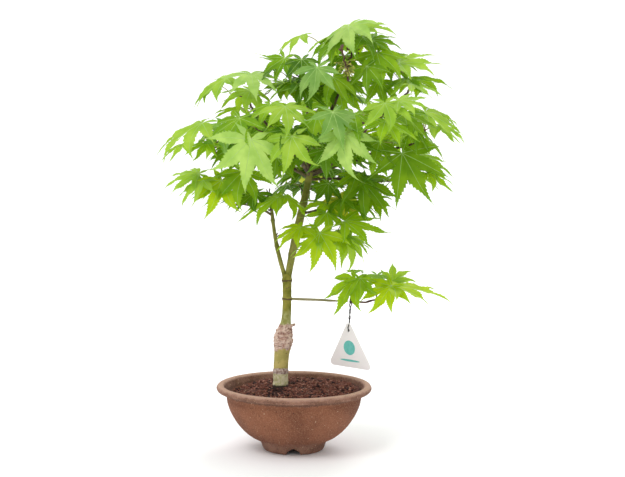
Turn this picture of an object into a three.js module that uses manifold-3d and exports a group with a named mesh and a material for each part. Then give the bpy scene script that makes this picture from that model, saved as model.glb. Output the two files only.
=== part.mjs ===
// A young Japanese maple grown as a bonsai in a round unglazed clay bowl, in millimetres, +Z up.
// One trunk with a swollen graft union forks into a leader and a side stem. The leader forks again
// into boughs, and each bough ends where it enters a mass of leaves. A blank tag hangs on the lowest
// bough. Everything is laid out about the bowl's axis. At the end the whole plant is moved so that
// the origin lies under the middle of its outline, at the level the bowl's feet stand on.
import * as THREE from 'three';
import { mergeVertices } from 'three/addons/utils/BufferGeometryUtils.js';
import Module from 'manifold-3d';

// ---- Driving dimensions ----
const GAP = 0.4;                   // clearance left between touching solids
const BOWL_RADIUS = 90.2;          // outside of the rolled lip
const BOWL_SEGMENTS = 28;
const BOWL_HEIGHT = 77;            // floor to the top of the lip
const LIP_WIDTH = 5;               // half of the lip's thickness across
const LIP_DEPTH = 6.5;             // half of the lip's height
const BODY_TOP_RADIUS = 79;        // bowl just under the lip
const BODY_TOP_Z = 62;
const BODY_CURVE = 1.5;            // superellipse power of the outside
const FOOT_HEIGHT = 12;
const FOOT_TOP_RADIUS = 39;
const FOOT_RADIUS = 34.5;          // outside of the foot ring on the floor
const FOOT_INNER_RADIUS = 26.5;
const FOOT_COUNT = 3;
const NOTCH_WIDTH = 15;            // gap between two feet, on the floor
const NOTCH_HEIGHT = 7;
const UNDERSIDE_Z = 9;             // bowl's underside inside the foot ring
const FLOOR_Z = 16.5;              // bowl's inside floor
const CAVITY_RADIUS = 75;
const CAVITY_TOP_Z = 64;
const CAVITY_CURVE = 2.1;          // superellipse power of the inside
const DRAIN_RADIUS = 7;
const CAVITY_STEPS = 6;
const SOIL_EDGE_Z = 68.5;
const SOIL_MOUND = 6.5;            // rise of the soil from the wall to the middle
const TRUNK_FOOT = [-17, 10];      // where the trunk stands, off the bowl's axis
const TRUNK_SINK_Z = 60;           // trunk's flat cut, under the soil
const FORK_Z = 207;                // first fork
const TRUNK_RADIUS = 8.6;
const TRUNK_TOP_RADIUS = 4.6;
const GRAFT_Z = 132;
const GRAFT_SWELL = 3.6;
const GRAFT_SPAN = 13;
const FLARE = 1.6;                 // root flare at the soil
const LEADER_TOP = [17, 10, 327];  // second fork
const MASS_SEGMENTS = 15;          // facets round a mass of leaves
const MASS_BANDS = 8;
const LOBE_DEPTH = 0.07;           // how far its sprays stand out, as a share of its half size
const UNEVENNESS = 0.06;
const UNDERSIDE_SHARE = 0.7;       // depth below its middle, beside the height above
const TAG_X = 64;                  // where the tag hangs, off the bowl's axis
const TAG_TOP_Z = 149;
const TAG_SIDE = 62;               // a triangle with three equal sides and round corners
const TAG_THICKNESS = 1;
const TAG_CORNER = 4.5;
const TAG_HOLE_DROP = 9;           // hole's centre below the top corner
const TAG_HOLE_RADIUS = 1.8;
const TAG_TURN = 42;               // degrees about the wire
const TAG_LEAN = 5;                // degrees that its foot hangs back
const WIRE_RADIUS = 0.7;

const wasm = await Module();
wasm.setup();

const vector = (p) => new THREE.Vector3(p[0], p[1], p[2]);
const lerp = THREE.MathUtils.lerp;
const radians = THREE.MathUtils.degToRad;
const smooth = THREE.MathUtils.smoothstep;

// ---- Solids ----

// A closed three.js geometry as a manifold-3d solid.
function solidOf(geometry) {
  const bare = geometry.clone();
  bare.deleteAttribute('normal');
  bare.deleteAttribute('uv');
  const merged = mergeVertices(bare, 1e-4);
  return new wasm.Manifold(new wasm.Mesh({
    numProp: 3,
    vertProperties: new Float32Array(merged.attributes.position.array),
    triVerts: new Uint32Array(merged.index.array),
  }));
}

// The largest separate body of a solid, so that a cut leaves no loose crumbs.
function largest(solid) {
  return solid.decompose().reduce((a, b) => (b.volume() > a.volume() ? b : a));
}

// A solid as a three.js geometry, placed about the point that becomes its mesh's position.
function geometryOf(solid, centre) {
  const { vertProperties, triVerts } = solid.getMesh();
  const geometry = new THREE.BufferGeometry();
  geometry.setAttribute('position', new THREE.BufferAttribute(new Float32Array(vertProperties), 3));
  geometry.setIndex(new THREE.BufferAttribute(new Uint32Array(triVerts), 1));
  geometry.translate(-centre.x, -centre.y, -centre.z);
  geometry.computeVertexNormals();
  return geometry;
}

// ---- Materials ----

const CLAY = new THREE.MeshStandardMaterial({ color: 0x9c6248, roughness: 0.9, metalness: 0 });
const SOIL = new THREE.MeshStandardMaterial({ color: 0x4a2a24, roughness: 1, metalness: 0 });
const BARK = new THREE.MeshStandardMaterial({ color: 0x8f9a52, roughness: 0.75, metalness: 0 });
const LEAF = new THREE.MeshStandardMaterial({ color: 0x7cc234, roughness: 0.6, metalness: 0 });
const TAG = new THREE.MeshStandardMaterial({ color: 0xe9dedd, roughness: 0.5, metalness: 0 });
const WIRE = new THREE.MeshStandardMaterial({ color: 0x3a3436, roughness: 0.5, metalness: 0 });

const plant = new THREE.Group();

function add(name, solid, material, centre = new THREE.Vector3()) {
  const mesh = new THREE.Mesh(geometryOf(solid, centre), material);
  mesh.name = name;
  mesh.position.copy(centre);
  plant.add(mesh);
}

// ---- Bowl and soil ----

// Points of a quarter superellipse, from its floor end out and up to its top end.
function bowlCurve(innerRadius, outerRadius, floorZ, topZ, power, steps) {
  const points = [];
  for (let i = 0; i <= steps; i++) {
    const turn = (Math.PI / 2) * (1 - i / steps);
    const out = Math.cos(turn) ** (2 / power);
    const down = Math.sin(turn) ** (2 / power);
    points.push(new THREE.Vector2(
      lerp(innerRadius, outerRadius, out), lerp(topZ, floorZ, down)));
  }
  return points;
}

function lipCurve(steps) {
  const points = [];
  for (let i = 0; i <= steps; i++) {
    const turn = radians(lerp(-62, 172, i / steps));
    points.push(new THREE.Vector2(
      BOWL_RADIUS - LIP_WIDTH * (1 - Math.cos(turn)),
      BOWL_HEIGHT - LIP_DEPTH * (1 - Math.sin(turn))));
  }
  return points;
}

function latheSolid(profile, segments) {
  const geometry = new THREE.LatheGeometry(profile, segments);
  geometry.rotateX(Math.PI / 2);
  const solid = solidOf(geometry);
  return solid.volume() < 0 ? solidOf(flipped(geometry)) : solid;
}

function flipped(geometry) {
  const turned = geometry.clone();
  const order = turned.index.array;
  for (let i = 0; i < order.length; i += 3) {
    [order[i + 1], order[i + 2]] = [order[i + 2], order[i + 1]];
  }
  return turned;
}

// A wedge-shaped gap across the foot ring, with a rounded top, pointing along an angle about Z.
function footNotch(angle) {
  const outline = new THREE.Shape();
  outline.moveTo(-NOTCH_WIDTH / 2, -1);
  outline.lineTo(-NOTCH_WIDTH / 2, 0);
  outline.quadraticCurveTo(-NOTCH_WIDTH / 4, 1.2, -NOTCH_WIDTH / 5, NOTCH_HEIGHT * 0.55);
  outline.quadraticCurveTo(-NOTCH_WIDTH / 9, NOTCH_HEIGHT, 0, NOTCH_HEIGHT);
  outline.quadraticCurveTo(NOTCH_WIDTH / 9, NOTCH_HEIGHT, NOTCH_WIDTH / 5, NOTCH_HEIGHT * 0.55);
  outline.quadraticCurveTo(NOTCH_WIDTH / 4, 1.2, NOTCH_WIDTH / 2, 0);
  outline.lineTo(NOTCH_WIDTH / 2, -1);
  outline.closePath();
  const depth = FOOT_TOP_RADIUS - FOOT_INNER_RADIUS + 12;
  const geometry = new THREE.ExtrudeGeometry(outline, { depth, bevelEnabled: false, curveSegments: 3 });
  geometry.rotateX(Math.PI / 2);
  geometry.translate(0, FOOT_TOP_RADIUS + 6, 0);
  geometry.rotateZ(angle - Math.PI / 2);
  return solidOf(geometry);
}

function bowlSolid() {
  const foot = new THREE.QuadraticBezierCurve(
    new THREE.Vector2(FOOT_RADIUS, 0),
    new THREE.Vector2(FOOT_TOP_RADIUS, 3),
    new THREE.Vector2(FOOT_TOP_RADIUS, FOOT_HEIGHT));
  const outside = bowlCurve(FOOT_TOP_RADIUS, BODY_TOP_RADIUS, FOOT_HEIGHT, BODY_TOP_Z, BODY_CURVE, 7);
  const inside = bowlCurve(DRAIN_RADIUS, CAVITY_RADIUS, FLOOR_Z, CAVITY_TOP_Z, CAVITY_CURVE, CAVITY_STEPS);
  const profile = [
    ...foot.getPoints(2),
    ...outside.slice(1),
    ...lipCurve(6),
    ...inside.reverse(),
    new THREE.Vector2(DRAIN_RADIUS, UNDERSIDE_Z),
    new THREE.Vector2(FOOT_INNER_RADIUS, UNDERSIDE_Z),
    new THREE.Vector2(FOOT_INNER_RADIUS, 0),
    new THREE.Vector2(FOOT_RADIUS, 0),
  ];
  let solid = latheSolid(profile, BOWL_SEGMENTS);
  for (let i = 0; i < FOOT_COUNT; i++) {
    const angle = -Math.PI / 2 + (i * 2 * Math.PI) / FOOT_COUNT;
    solid = solid.subtract(footNotch(angle));
  }
  return largest(solid);
}

function soilSolid(trunk) {
  const wall = bowlCurve(
    0, CAVITY_RADIUS - GAP * 1.5, FLOOR_Z + GAP, CAVITY_TOP_Z, CAVITY_CURVE, CAVITY_STEPS);
  const edge = new THREE.Vector2(CAVITY_RADIUS + 0.6, SOIL_EDGE_Z);
  const mound = [0.8, 0.55, 0.3, 0].map((share) => new THREE.Vector2(
    edge.x * share, SOIL_EDGE_Z + SOIL_MOUND * (1 - share * share)));
  return largest(latheSolid([...wall, edge, ...mound], BOWL_SEGMENTS).subtract(trunk));
}

// ---- Trunk and boughs ----

// A closed tapering limb along a curve: a cylinder bent to the curve. radiusAt gives its radius at a
// share of its length, and extra makes it fatter all over, for cutting its neighbours back.
function limbSolid(curve, radiusAt, sides, steps, extra = 0) {
  const geometry = new THREE.CylinderGeometry(1, 1, 1, sides, steps);
  const frames = curve.computeFrenetFrames(steps, false);
  const position = geometry.attributes.position;
  for (let i = 0; i < position.count; i++) {
    const share = position.getY(i) + 0.5;
    const row = Math.round(share * steps);
    const radius = radiusAt(share) + extra;
    const point = curve.getPointAt(share)
      .addScaledVector(frames.normals[row], position.getX(i) * radius)
      .addScaledVector(frames.binormals[row], position.getZ(i) * radius);
    position.setXYZ(i, point.x, point.y, point.z);
  }
  const solid = solidOf(geometry);
  return solid.volume() < 0 ? solidOf(flipped(geometry)) : solid;
}

// The trunk leans a little to +X, and swells at the soil, at the graft and under the fork.
const trunkCurve = new THREE.CatmullRomCurve3([
  new THREE.Vector3(TRUNK_FOOT[0], TRUNK_FOOT[1], TRUNK_SINK_Z),
  new THREE.Vector3(TRUNK_FOOT[0] + 2, TRUNK_FOOT[1], 112),
  new THREE.Vector3(TRUNK_FOOT[0] + 7.5, TRUNK_FOOT[1], 158),
  new THREE.Vector3(TRUNK_FOOT[0] + 7.8, TRUNK_FOOT[1], FORK_Z),
]);

function trunkRadius(share) {
  const z = lerp(TRUNK_SINK_Z, FORK_Z, share);
  const stock = lerp(TRUNK_RADIUS, TRUNK_TOP_RADIUS, smooth(z, GRAFT_Z - 8, GRAFT_Z + 24));
  const graft = GRAFT_SWELL * Math.exp(-(((z - GRAFT_Z) / GRAFT_SPAN) ** 2));
  const flare = FLARE * Math.exp(-((z - TRUNK_SINK_Z) / 18));
  return stock + graft + flare + 0.8 * smooth(z, FORK_Z - 14, FORK_Z);
}

const trunkPoint = (share) => trunkCurve.getPointAt(share).toArray();

// A limb that leaves a point along a heading and arrives at another point. bow lifts its far half.
function bentLimb(from, heading, to, bow) {
  const start = vector(from);
  const end = vector(to);
  const reach = start.distanceTo(end);
  const out = vector(heading).normalize().multiplyScalar(reach * 0.45);
  const back = end.clone().sub(start).multiplyScalar(-0.3).add(new THREE.Vector3(0, 0, bow));
  return new THREE.CubicBezierCurve3(start, start.clone().add(out), end.clone().add(back), end);
}

const leaderCurve = bentLimb(trunkPoint(0.985), [0.2, 0, 1], LEADER_TOP, -8);
const sideStemCurve = bentLimb(trunkPoint(0.985), [-0.45, 0.02, 1], [-31, 12, 301], 0);
const onLeader = (share) => leaderCurve.getPointAt(share).toArray();
const onSideStem = (share) => sideStemCurve.getPointAt(share).toArray();

// ---- Masses of leaves ----

// centre and half sizes in millimetres. droop is how far a mass's rim hangs below its middle, and
// lobes is how many sprays stand out round that rim.
const MASSES = {
  crown_top: { centre: [64, 0, 471], half: [70, 60, 31], droop: 18, lobes: 7 },
  crown_heart: { centre: [14, -14, 432], half: [52, 48, 31], droop: 10, lobes: 5 },
  crown_upper_left: { centre: [-54, -4, 414], half: [68, 58, 27], droop: 20, lobes: 6 },
  crown_upper_right: { centre: [134, 6, 432], half: [52, 56, 25], droop: 14, lobes: 5 },
  crown_left: { centre: [-98, -6, 358], half: [63, 56, 28], droop: 26, lobes: 6 },
  crown_front: { centre: [-10, -88, 372], half: [66, 50, 38], droop: 28, lobes: 6 },
  crown_front_right: { centre: [80, -82, 386], half: [56, 46, 33], droop: 24, lobes: 5 },
  crown_right: { centre: [150, -22, 376], half: [54, 54, 28], droop: 26, lobes: 6 },
  crown_back: { centre: [42, 92, 408], half: [78, 50, 38], droop: 24, lobes: 7 },
  crown_back_left: { centre: [-56, 76, 374], half: [62, 52, 34], droop: 26, lobes: 6 },
  crown_back_right: { centre: [122, 82, 364], half: [58, 50, 33], droop: 26, lobes: 6 },
  crown_low_left: { centre: [-84, 4, 303], half: [62, 52, 24], droop: 24, lobes: 6 },
  crown_low_right: { centre: [132, -16, 326], half: [50, 46, 25], droop: 26, lobes: 5 },
  crown_inner_right: { centre: [84, -4, 298], half: [46, 42, 21], droop: 20, lobes: 5 },
  crown_low_back: { centre: [16, 68, 316], half: [54, 40, 23], droop: 20, lobes: 5 },
  side_stem_pad: { centre: [-30, -26, 284], half: [36, 27, 14], droop: 12, lobes: 5 },
  leader_pad: { centre: [46, -36, 253], half: [62, 36, 27], droop: 20, lobes: 6 },
  low_bough_pad: { centre: [114, 6, 186], half: [79, 44, 24], droop: 12, lobes: 6 },
};

// A smooth bump pattern over directions, different for each mass.
function bumps(direction, seed) {
  const { x, y, z } = direction;
  return Math.sin(3.1 * x + seed) * Math.cos(2.7 * y - 1.3 * seed)
    + 0.6 * Math.sin(5.3 * y + 2.1 * seed + 2 * x) + 0.5 * Math.sin(6.1 * x - 3.7 * z + seed * 0.7);
}

// An uneven pad: round above, flatter below, its rim lobed and hanging.
function massSolid(name, extra = 0) {
  const { centre, half, droop, lobes } = MASSES[name];
  const seed = 1 + Object.keys(MASSES).indexOf(name) * 1.7;
  const geometry = new THREE.SphereGeometry(1, MASS_SEGMENTS, MASS_BANDS);
  geometry.rotateX(Math.PI / 2);
  const position = geometry.attributes.position;
  const direction = new THREE.Vector3();
  for (let i = 0; i < position.count; i++) {
    direction.fromBufferAttribute(position, i).normalize();
    const rim = direction.x ** 2 + direction.y ** 2;
    const spray = LOBE_DEPTH * rim * Math.cos(lobes * Math.atan2(direction.y, direction.x) + seed);
    const size = 0.9 + UNEVENNESS * bumps(direction, seed) + spray;
    const flat = direction.z < 0 ? UNDERSIDE_SHARE : 1;
    position.setXYZ(
      i,
      centre[0] + direction.x * (half[0] * size + extra),
      centre[1] + direction.y * (half[1] * size + extra),
      centre[2] + direction.z * (half[2] * (size - spray) * flat + extra) - droop * (rim - 0.4) * rim);
  }
  return solidOf(geometry);
}

// The level of a mass's underside straight over a point.
function undersideOf(name, point) {
  const up = new THREE.Vector3(0, 0, 1);
  const mass = plant.getObjectByName(name);
  mass.updateMatrixWorld();
  return new THREE.Raycaster(point, up).intersectObject(mass)[0].point.z;
}

// ---- Boughs: each starts on a stem and runs to just inside the mass it carries ----

const BOUGHS = [
  { name: 'bough_top', from: LEADER_TOP, heading: [0.3, -0.1, 1], mass: 'crown_top', radii: [3.2, 1.6] },
  { name: 'bough_heart', from: onLeader(0.97), heading: [-0.2, -0.5, 1], mass: 'crown_heart', radii: [2.4, 1.2] },
  { name: 'bough_upper_left', from: onLeader(0.98), heading: [-0.6, 0, 1], mass: 'crown_upper_left', radii: [2.6, 1.3] },
  { name: 'bough_upper_right', from: LEADER_TOP, heading: [0.8, 0.1, 1], mass: 'crown_upper_right', radii: [2.4, 1.2] },
  { name: 'bough_left', from: onLeader(0.95), heading: [-1, -0.1, 0.7], mass: 'crown_left', radii: [2.4, 1.2] },
  { name: 'bough_front', from: onLeader(0.96), heading: [-0.2, -1, 0.6], mass: 'crown_front', radii: [2.2, 1.2] },
  { name: 'bough_front_right', from: LEADER_TOP, heading: [0.6, -0.8, 0.7], mass: 'crown_front_right', radii: [2.2, 1.2] },
  { name: 'bough_right', from: onLeader(0.98), heading: [1, -0.2, 0.5], mass: 'crown_right', radii: [2.3, 1.2] },
  { name: 'bough_back', from: LEADER_TOP, heading: [0.1, 0.8, 1], mass: 'crown_back', radii: [2.4, 1.3] },
  { name: 'bough_back_left', from: onLeader(0.94), heading: [-0.7, 0.8, 0.6], mass: 'crown_back_left', radii: [2.2, 1.2] },
  { name: 'bough_back_right', from: onLeader(0.96), heading: [0.9, 0.8, 0.4], mass: 'crown_back_right', radii: [2.2, 1.2] },
  { name: 'bough_low_left', from: onSideStem(0.74), heading: [-0.9, -0.1, 0.8], mass: 'crown_low_left', radii: [1.6, 1] },
  { name: 'bough_low_right', from: onLeader(0.93), heading: [1, -0.1, 0.1], mass: 'crown_low_right', radii: [2, 1.1] },
  { name: 'bough_inner_right', from: onLeader(0.6), heading: [1, -0.1, 0.3], mass: 'crown_inner_right', radii: [1.7, 1] },
  { name: 'bough_low_back', from: onLeader(0.75), heading: [0, 1, 0.3], mass: 'crown_low_back', radii: [1.8, 1] },
  { name: 'bough_side_stem', from: onSideStem(0.9), heading: [0.5, -1, 0.2], mass: 'side_stem_pad', radii: [1.3, 0.9] },
  { name: 'bough_leader_pad', from: onLeader(0.3), heading: [0.9, -0.6, 0.3], mass: 'leader_pad', radii: [1.6, 1] },
  { name: 'bough_low', from: trunkPoint(0.8), heading: [1, 0, -0.02], mass: 'low_bough_pad', radii: [1.9, 1.1] },
];

function boughCurve({ from, heading, mass }) {
  const { centre, half } = MASSES[mass];
  const inside = [centre[0], centre[1], centre[2] - half[2] * 0.3];
  return bentLimb(from, heading, inside, -5);
}

// ---- Tag ----

// The tag's outline, with the tip of its rounded top corner at the origin.
function tagOutline() {
  const reach = TAG_SIDE / 2 - TAG_CORNER;
  const low = TAG_CORNER - (TAG_SIDE * Math.sqrt(3)) / 2;
  const corners = [[0, -TAG_CORNER], [reach, low], [-reach, low]].map((p) => new THREE.Vector2(...p));
  const outline = new THREE.Shape();
  corners.forEach((corner, i) => {
    const before = corners[(i + 2) % 3];
    const after = corners[(i + 1) % 3];
    const square = (a, b) => Math.atan2(b.y - a.y, b.x - a.x) + Math.PI / 2;
    outline.absarc(corner.x, corner.y, TAG_CORNER, square(before, corner), square(corner, after), true);
  });
  const hole = new THREE.Path();
  hole.absarc(0, -TAG_HOLE_DROP, TAG_HOLE_RADIUS, 0, 2 * Math.PI, false);
  outline.holes.push(hole);
  return outline;
}

function tagSolid(top) {
  const geometry = new THREE.ExtrudeGeometry(
    tagOutline(), { depth: TAG_THICKNESS, bevelEnabled: false, curveSegments: 6 });
  geometry.translate(0, 0, -TAG_THICKNESS / 2);
  geometry.rotateX(radians(90 + TAG_LEAN));
  geometry.rotateZ(radians(-TAG_TURN));
  geometry.translate(top.x, top.y, top.z);
  return solidOf(geometry);
}

// ---- Assembly ----

const trunk = limbSolid(trunkCurve, trunkRadius, 12, 16);
const grownTrunk = limbSolid(trunkCurve, trunkRadius, 12, 16, GAP);
add('bowl', bowlSolid(), CLAY);
add('soil', soilSolid(grownTrunk), SOIL);
add('trunk', trunk, BARK);

const leaderRadius = (share) => 3.7 + 0.9 * Math.sin(share * Math.PI) ** 2 + 0.8 * smooth(share, 0.85, 1);
const sideStemRadius = (share) => lerp(2.5, 1.8, share);
const grownLimbs = [{ solid: grownTrunk }];

function addLimb(name, curve, radiusAt, sides, steps, mass) {
  let solid = limbSolid(curve, radiusAt, sides, steps);
  for (const other of grownLimbs) {
    solid = solid.subtract(other.solid);
  }
  if (mass) {
    solid = solid.subtract(massSolid(mass, GAP));
  }
  add(name, largest(solid), BARK);
  grownLimbs.push({ solid: limbSolid(curve, radiusAt, sides, steps, GAP), mass });
}

addLimb('leader', leaderCurve, leaderRadius, 10, 8);
addLimb('side_stem', sideStemCurve, sideStemRadius, 8, 6);
for (const bough of BOUGHS) {
  const [thick, thin] = bough.radii;
  addLimb(bough.name, boughCurve(bough), (share) => lerp(thick, thin, share), 6, 5, bough.mass);
}

Object.keys(MASSES).forEach((name, i, names) => {
  let solid = massSolid(name);
  for (const earlier of names.slice(0, i)) {
    solid = solid.subtract(massSolid(earlier, GAP));
  }
  for (const limb of grownLimbs) {
    if (limb.mass !== name) {
      solid = solid.subtract(limb.solid);
    }
  }
  add(name, largest(solid), LEAF, vector(MASSES[name].centre));
});

// The tag hangs on a wire that comes down out of the leaves of the low bough.
const tagTop = new THREE.Vector3(TAG_X, TRUNK_FOOT[1], TAG_TOP_Z);
const wireFoot = new THREE.Vector3(tagTop.x, tagTop.y, tagTop.z + GAP);
const wireTop = new THREE.Vector3(tagTop.x, tagTop.y, undersideOf('low_bough_pad', tagTop) - GAP);
add('tag', tagSolid(tagTop), TAG);
add('tag_wire', limbSolid(new THREE.LineCurve3(wireFoot, wireTop), () => WIRE_RADIUS, 6, 1), WIRE);

// The origin goes under the middle of the outline.
const outline = new THREE.Box3().setFromObject(plant, true);
const middle = outline.getCenter(new THREE.Vector3());
plant.position.set(-middle.x, -middle.y, 0);

export default plant;
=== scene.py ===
"""A young maple grown as a bonsai in a round clay bowl: its bark, twigs, leaves, bowl and soil.

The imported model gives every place: the limbs are followed along their own solids, and each mass of
leaves is filled by a seeded branching rule that grows on from the bough that enters it.
"""
import math
import random

import bmesh
import bpy
import numpy as np
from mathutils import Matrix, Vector, noise
from mathutils.bvhtree import BVHTree


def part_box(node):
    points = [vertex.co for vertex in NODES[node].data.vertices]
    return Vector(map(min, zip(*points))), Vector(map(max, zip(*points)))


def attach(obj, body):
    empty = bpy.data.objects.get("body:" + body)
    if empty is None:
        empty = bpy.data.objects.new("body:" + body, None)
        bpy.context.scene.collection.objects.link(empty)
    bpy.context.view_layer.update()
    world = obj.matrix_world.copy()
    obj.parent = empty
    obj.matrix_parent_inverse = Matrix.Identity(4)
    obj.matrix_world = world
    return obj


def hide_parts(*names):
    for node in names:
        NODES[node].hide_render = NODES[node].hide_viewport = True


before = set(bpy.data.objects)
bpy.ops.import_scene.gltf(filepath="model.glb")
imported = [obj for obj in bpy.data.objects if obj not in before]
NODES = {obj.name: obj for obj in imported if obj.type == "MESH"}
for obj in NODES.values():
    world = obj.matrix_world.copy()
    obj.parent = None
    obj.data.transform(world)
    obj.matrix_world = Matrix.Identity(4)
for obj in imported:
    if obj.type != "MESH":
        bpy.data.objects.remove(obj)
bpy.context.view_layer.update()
UP = np.array([0.0, 0.0, 1.0])

# ---- Driving sizes, in metres ----
LEAF_LENGTH = 0.057          # from the end of its stalk to the tip of its middle lobe
BOWL_LOW, BOWL_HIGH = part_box("bowl")
BOWL_MIDDLE = (BOWL_LOW + BOWL_HIGH) / 2
BOWL_RADIUS = (BOWL_HIGH.x - BOWL_LOW.x) / 2
BOWL_HEIGHT = BOWL_HIGH.z
SOIL_LOW, SOIL_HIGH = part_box("soil")
SOIL_RADIUS = (SOIL_HIGH.x - SOIL_LOW.x) / 2
GRAFT = (0.1195, 0.1455)     # levels of the graft's foot and its top
STEM_SWELL = 0.15            # how much thicker than its solid the trunk is above the graft
FORK_SPREAD = (0.0014, -0.0022)   # how far aside the leader and the side stem start from their solids
BOWL_SPREAD = 1.016          # how many times as wide as its solid the bowl is
BOWL_RISE = 0.0006           # how much higher than its solid it is
WIRE_RADIUS = 0.00068
HOLE_DOWN = 0.009            # from the card's top corner to the middle of its hole


# ---- Small helpers ----

def unit(v):
    """A vector at length one."""
    v = np.asarray(v, float)
    return v / max(np.linalg.norm(v), 1e-12)


def turned(v, angle):
    """A vector turned about the upright axis."""
    c, s = math.cos(angle), math.sin(angle)
    return np.array([c * v[0] - s * v[1], s * v[0] + c * v[1], v[2]])


def smoothstep(x, low, high):
    """0 below low, 1 above high, and an even rise between."""
    t = np.clip((np.asarray(x, float) - low) / (high - low), 0, 1)
    return t * t * (3 - 2 * t)


def bezier(a, b, c, d, steps):
    """Points of a cubic curve from a to d, led by b and c."""
    t = np.linspace(0, 1, steps)[:, None]
    return (1 - t) ** 3 * a + 3 * (1 - t) ** 2 * t * b + 3 * (1 - t) * t ** 2 * c + t ** 3 * d


def resample(path, values, steps):
    """A path and the values along it, at even steps of its length."""
    lengths = np.concatenate([[0], np.cumsum(np.linalg.norm(np.diff(path, axis=0), axis=1))])
    at = np.linspace(0, lengths[-1], steps)
    points = np.stack([np.interp(at, lengths, path[:, k]) for k in range(3)], 1)
    return points, np.interp(at, lengths, values)


def half_box(name):
    """The middle of a node's box, and half its sizes."""
    low, high = (np.array(corner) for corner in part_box(name))
    return (low + high) / 2, (high - low) / 2


def ring_faces(rows, around, closed):
    """Faces between neighbouring rings of points. closed joins the last ring to the first."""
    return np.array([[i * around + j, (i + 1) % rows * around + j,
                      (i + 1) % rows * around + (j + 1) % around, i * around + (j + 1) % around]
                     for i in range(rows if closed else rows - 1) for j in range(around)])


class Shape:
    """Vertices and faces gathered for one piece."""

    def __init__(self):
        self.points = []
        self.faces = []
        self.count = 0

    def add(self, points, faces):
        self.points.append(np.asarray(points, float))
        self.faces.append(np.asarray(faces) + self.count)
        self.count += len(points)

    def tube(self, path, radii, sides, bump=None):
        """A closed tube along a path. bump(angles, row) gives extra radius round one ring."""
        path = np.asarray(path, float)
        radii = np.broadcast_to(np.asarray(radii, float), (len(path),))
        tangents = np.gradient(path, axis=0)
        tangents /= np.linalg.norm(tangents, axis=1)[:, None] + 1e-12
        side = np.cross(tangents[0], [0.3, 1.0, 0.1])
        angles = np.linspace(0, 2 * math.pi, sides, endpoint=False)
        rings = []
        for i, (point, tangent, radius) in enumerate(zip(path, tangents, radii)):
            side = unit(side - tangent * (side @ tangent))
            other = np.cross(tangent, side)
            reach = radius + (bump(angles, i) if bump else 0)
            spokes = np.outer(np.cos(angles), side) + np.outer(np.sin(angles), other)
            rings.append(point + spokes * np.reshape(reach, (-1, 1)))
        points = np.concatenate(rings + [path[:1], path[-1:]])
        ring = np.arange(sides)
        after = (ring + 1) % sides
        faces = [np.stack([k + ring, k + after, k + sides + after, k + sides + ring], 1)
                 for k in range(0, (len(path) - 1) * sides, sides)]
        first = self.count
        self.add(points, np.concatenate(faces))
        start, end = len(points) - 2, len(points) - 1
        last = (len(path) - 1) * sides
        self.faces.append(np.stack([after, ring, np.full(sides, start)], 1) + first)
        self.faces.append(np.stack([last + ring, last + after, np.full(sides, end)], 1) + first)

    def make(self, name, material, slot, *replaced, smooth=True):
        """Makes the piece, links it with its material to the root body, and hides the nodes it stands for."""
        mesh = bpy.data.meshes.new(name)
        faces = [face.tolist() for block in self.faces for face in block]
        mesh.from_pydata(np.concatenate(self.points).tolist(), [], faces)
        mesh.update()
        mesh.shade_smooth() if smooth else mesh.shade_flat()
        return place(bpy.data.objects.new(name, mesh), material, slot, *replaced)


def place(piece, material, slot, *replaced):
    """Links a piece, with its material, to the body, and hides the nodes that it stands for."""
    bpy.context.scene.collection.objects.link(piece)
    piece.data.materials.append(material)
    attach(piece, "root")
    if replaced:
        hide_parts(*replaced)
    return piece


# ---- Node groups ----

def socket(group, name, kind, direction, value=None):
    """One named input or output of a node group."""
    made = group.interface.new_socket(name=name, in_out=direction, socket_type=kind)
    if value is not None:
        made.default_value = value


def new_group(name, inputs, outputs):
    """An empty node group with its named inputs and outputs, and its two end nodes."""
    group = bpy.data.node_groups.new(name, "ShaderNodeTree")
    for label, kind, value in inputs:
        socket(group, label, kind, "INPUT", value)
    for label, kind in outputs:
        socket(group, label, kind, "OUTPUT")
    return group, group.nodes.new("NodeGroupInput"), group.nodes.new("NodeGroupOutput")


def math_node(nodes, links, operation, a, b):
    """One sum. Each of a and b is a number or a socket."""
    node = nodes.new("ShaderNodeMath")
    node.operation = operation
    for slot_index, value in enumerate((a, b)):
        if isinstance(value, (int, float)):
            node.inputs[slot_index].default_value = value
        else:
            links.new(value, node.inputs[slot_index])
    return node.outputs[0]


def ramp_node(nodes, links, value, low, high):
    """A mask that rises from 0 at low to 1 at high."""
    node = nodes.new("ShaderNodeMapRange")
    node.interpolation_type = "SMOOTHSTEP"
    links.new(value, node.inputs["Value"])
    for label, edge in (("From Min", low), ("From Max", high)):
        if isinstance(edge, (int, float)):
            node.inputs[label].default_value = edge
        else:
            links.new(edge, node.inputs[label])
    return node.outputs["Result"]


def mix_node(nodes, links, mask, under, over):
    """One colour laid over another by a mask. Each colour is a tuple or a socket."""
    blend = nodes.new("ShaderNodeMix")
    blend.data_type = "RGBA"
    links.new(mask, blend.inputs["Factor"])
    for target, value in ((blend.inputs["A"], under), (blend.inputs["B"], over)):
        if isinstance(value, tuple):
            target.default_value = (*value, 1)
        else:
            links.new(value, target)
    return blend.outputs["Result"]


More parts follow.
